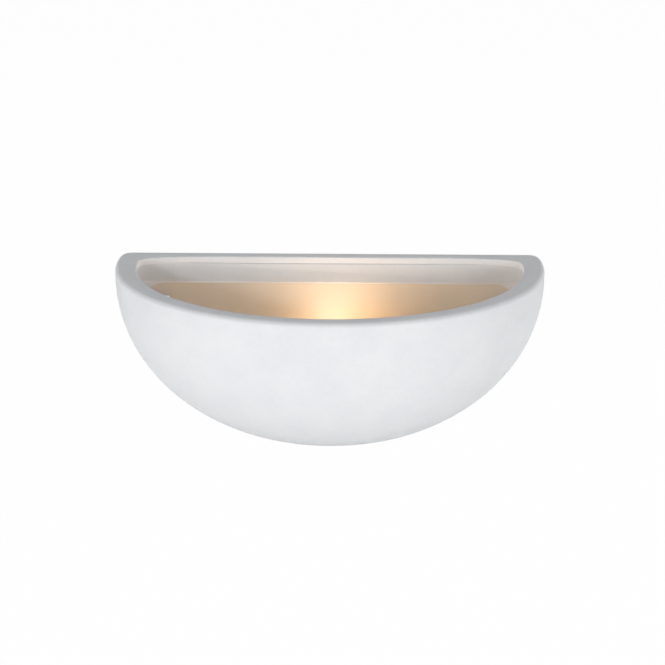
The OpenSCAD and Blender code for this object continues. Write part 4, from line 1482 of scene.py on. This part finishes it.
@dataclass
class Studio:
    """A pale floor, soft lamps, a white surround and the photograph's camera."""

    elevation_deg: float = 24.5
    distance: float = 1400.0
    target: tuple[float, float, float] = (0.0, -60.0, 22.0)
    focal_px: float = 2023.0
    centre_px: tuple[float, float] = (329.83, 352.75)
    yaw: float = -0.0088
    roll: float = -0.0031
    sensor: float = 36.0
    floor_drop: float = 420.0
    floor_half: float = 6000.0
    floor_white: float = 0.985
    ambient: float = 0.01
    softboxes: tuple[Softbox, ...] = (
        Softbox("left_low_softbox", (-1.5, -1.6, 0.0), (1.0, 0.5), 9.2),
        Softbox("left_softbox", (-1.5, -1.6, 0.27), (1.0, 0.34), 11.4),
        Softbox("left_high_softbox", (-1.5, -1.6, 0.76), (1.0, 0.3), 12.0),
        Softbox("right_low_softbox", (1.5, -1.6, 0.0), (1.0, 0.5), 2.8),
        Softbox("right_softbox", (1.5, -1.6, 0.27), (1.0, 0.34), 9.8),
        Softbox("right_high_softbox", (1.5, -1.6, 0.7), (1.0, 0.4), 7.4),
        Softbox("right_side_softbox", (2.1, -0.5, 0.1), (1.0, 1.0), 10.2),
        Softbox("rear_softbox", (0.0, 1.1, 1.6), (2.0, 0.8), 17.8))
    glows: tuple[BowlGlow, ...] = (
        BowlGlow("left_glow", (-108.0, -42.0, 30.0), 0.003),
        BowlGlow("right_glow", (104.0, -44.0, 30.0), 0.005))

    def camera(self) -> None:
        """Places the camera from the fitted view, turned back by the object's small yaw."""
        rise = math.radians(self.elevation_deg)
        spin = Matrix.Rotation(-self.yaw, 3, "Z")
        right, up = Vector((1, 0, 0)), Vector((0, math.sin(rise), math.cos(rise)))
        ahead = Vector((0, math.cos(rise), -math.sin(rise)))
        turned_right = right * math.cos(self.roll) - up * math.sin(self.roll)
        turned_up = right * math.sin(self.roll) + up * math.cos(self.roll)
        axes = [spin @ v for v in (turned_right, turned_up, -ahead)]
        place = spin @ (Vector(self.target) - ahead * self.distance) * MM
        data = bpy.data.cameras.new("camera")
        data.sensor_width = self.sensor
        data.lens = self.focal_px / IMAGE_SIDE * data.sensor_width
        data.shift_x = (IMAGE_SIDE / 2 - self.centre_px[0]) / IMAGE_SIDE
        data.shift_y = (self.centre_px[1] - IMAGE_SIDE / 2) / IMAGE_SIDE
        data.clip_start, data.clip_end = 0.05, 50.0
        bpy.context.scene.camera = stand("camera", data, Matrix.Translation(place)
                                         @ Matrix(axes).transposed().to_4x4())

    def world(self) -> None:
        """White where the camera, gloss or glass sees it, and hardly any light elsewhere."""
        world = bpy.data.worlds.new("surround")
        world.use_nodes = True
        tree = world.node_tree
        tree.nodes.clear()
        level = add(tree, SPREAD, inputs={
            "Value": self.seen(tree), "To Min": self.ambient, "To Max": 1.0})
        light = add(tree, "ShaderNodeBackground", inputs={
            "Color": linear("ffffff"), "Strength": level.outputs["Result"]})
        add(tree, "ShaderNodeOutputWorld", inputs={"Surface": light.outputs["Background"]})
        bpy.context.scene.world = world

    @staticmethod
    def seen(tree: Tree) -> Socket:
        """Tells what is seen directly, in gloss or through glass from what is only lit.

        Args:
            tree: the node tree.

        Returns:
            1 for camera, glossy and transmission rays, else 0.
        """
        path = add(tree, "ShaderNodeLightPath").outputs
        value = path["Is Camera Ray"]
        for kind in ("Is Glossy Ray", "Is Transmission Ray"):
            value = add(tree, MATH, {"operation": "MAXIMUM"},
                        {0: value, 1: path[kind]}).outputs["Value"]
        return value

    def floor(self) -> None:
        """A pale floor below the object: white to the camera, with a soft shadow."""
        steps = np.linspace(-self.floor_half, self.floor_half, 5)
        x, y = np.meshgrid(steps, steps)
        height = np.full_like(x, self.target[2] - self.floor_drop)
        patches = Patches()
        patches.grid(np.stack([x, y, height], -1))
        floor = patches.object("floor")
        material = bpy.data.materials.new("pale_floor")
        material.use_nodes = True
        tree = material.node_tree
        tree.nodes.clear()
        matt = add(tree, "ShaderNodeBsdfDiffuse", inputs={"Color": linear("f4f4f3")})
        white = add(tree, "ShaderNodeEmission", inputs={"Color": linear("ffffff"),
                                                        "Strength": 1.0})
        share = add(tree, MATH, {"operation": "MULTIPLY"},
                    {0: self.seen(tree), 1: self.floor_white}).outputs["Value"]
        both = add(tree, "ShaderNodeMixShader", inputs={
            0: share, 1: matt.outputs["BSDF"], 2: white.outputs["Emission"]})
        add(tree, "ShaderNodeOutputMaterial", inputs={"Surface": both.outputs["Shader"]})
        floor.data.materials.append(material)

    def build(self) -> None:
        """Sets up the whole studio."""
        bpy.context.scene.view_settings.view_transform = "Standard"
        self.camera()
        self.world()
        self.floor()
        for light in self.softboxes + self.glows:
            light.build()


def main() -> None:
    """Builds the studio and the sconce, sub-assembly by sub-assembly."""
    logging.basicConfig(level=logging.INFO, format="%(message)s")
    Studio().build()
    screws = SideScrews()
    Bowl(screws).build()
    screws.build()
    Plate().build()
    Leads().build()
    holder = Lampholder()
    holder.build()
    Lamp(holder).build()


if __name__ == "__main__":
    main()
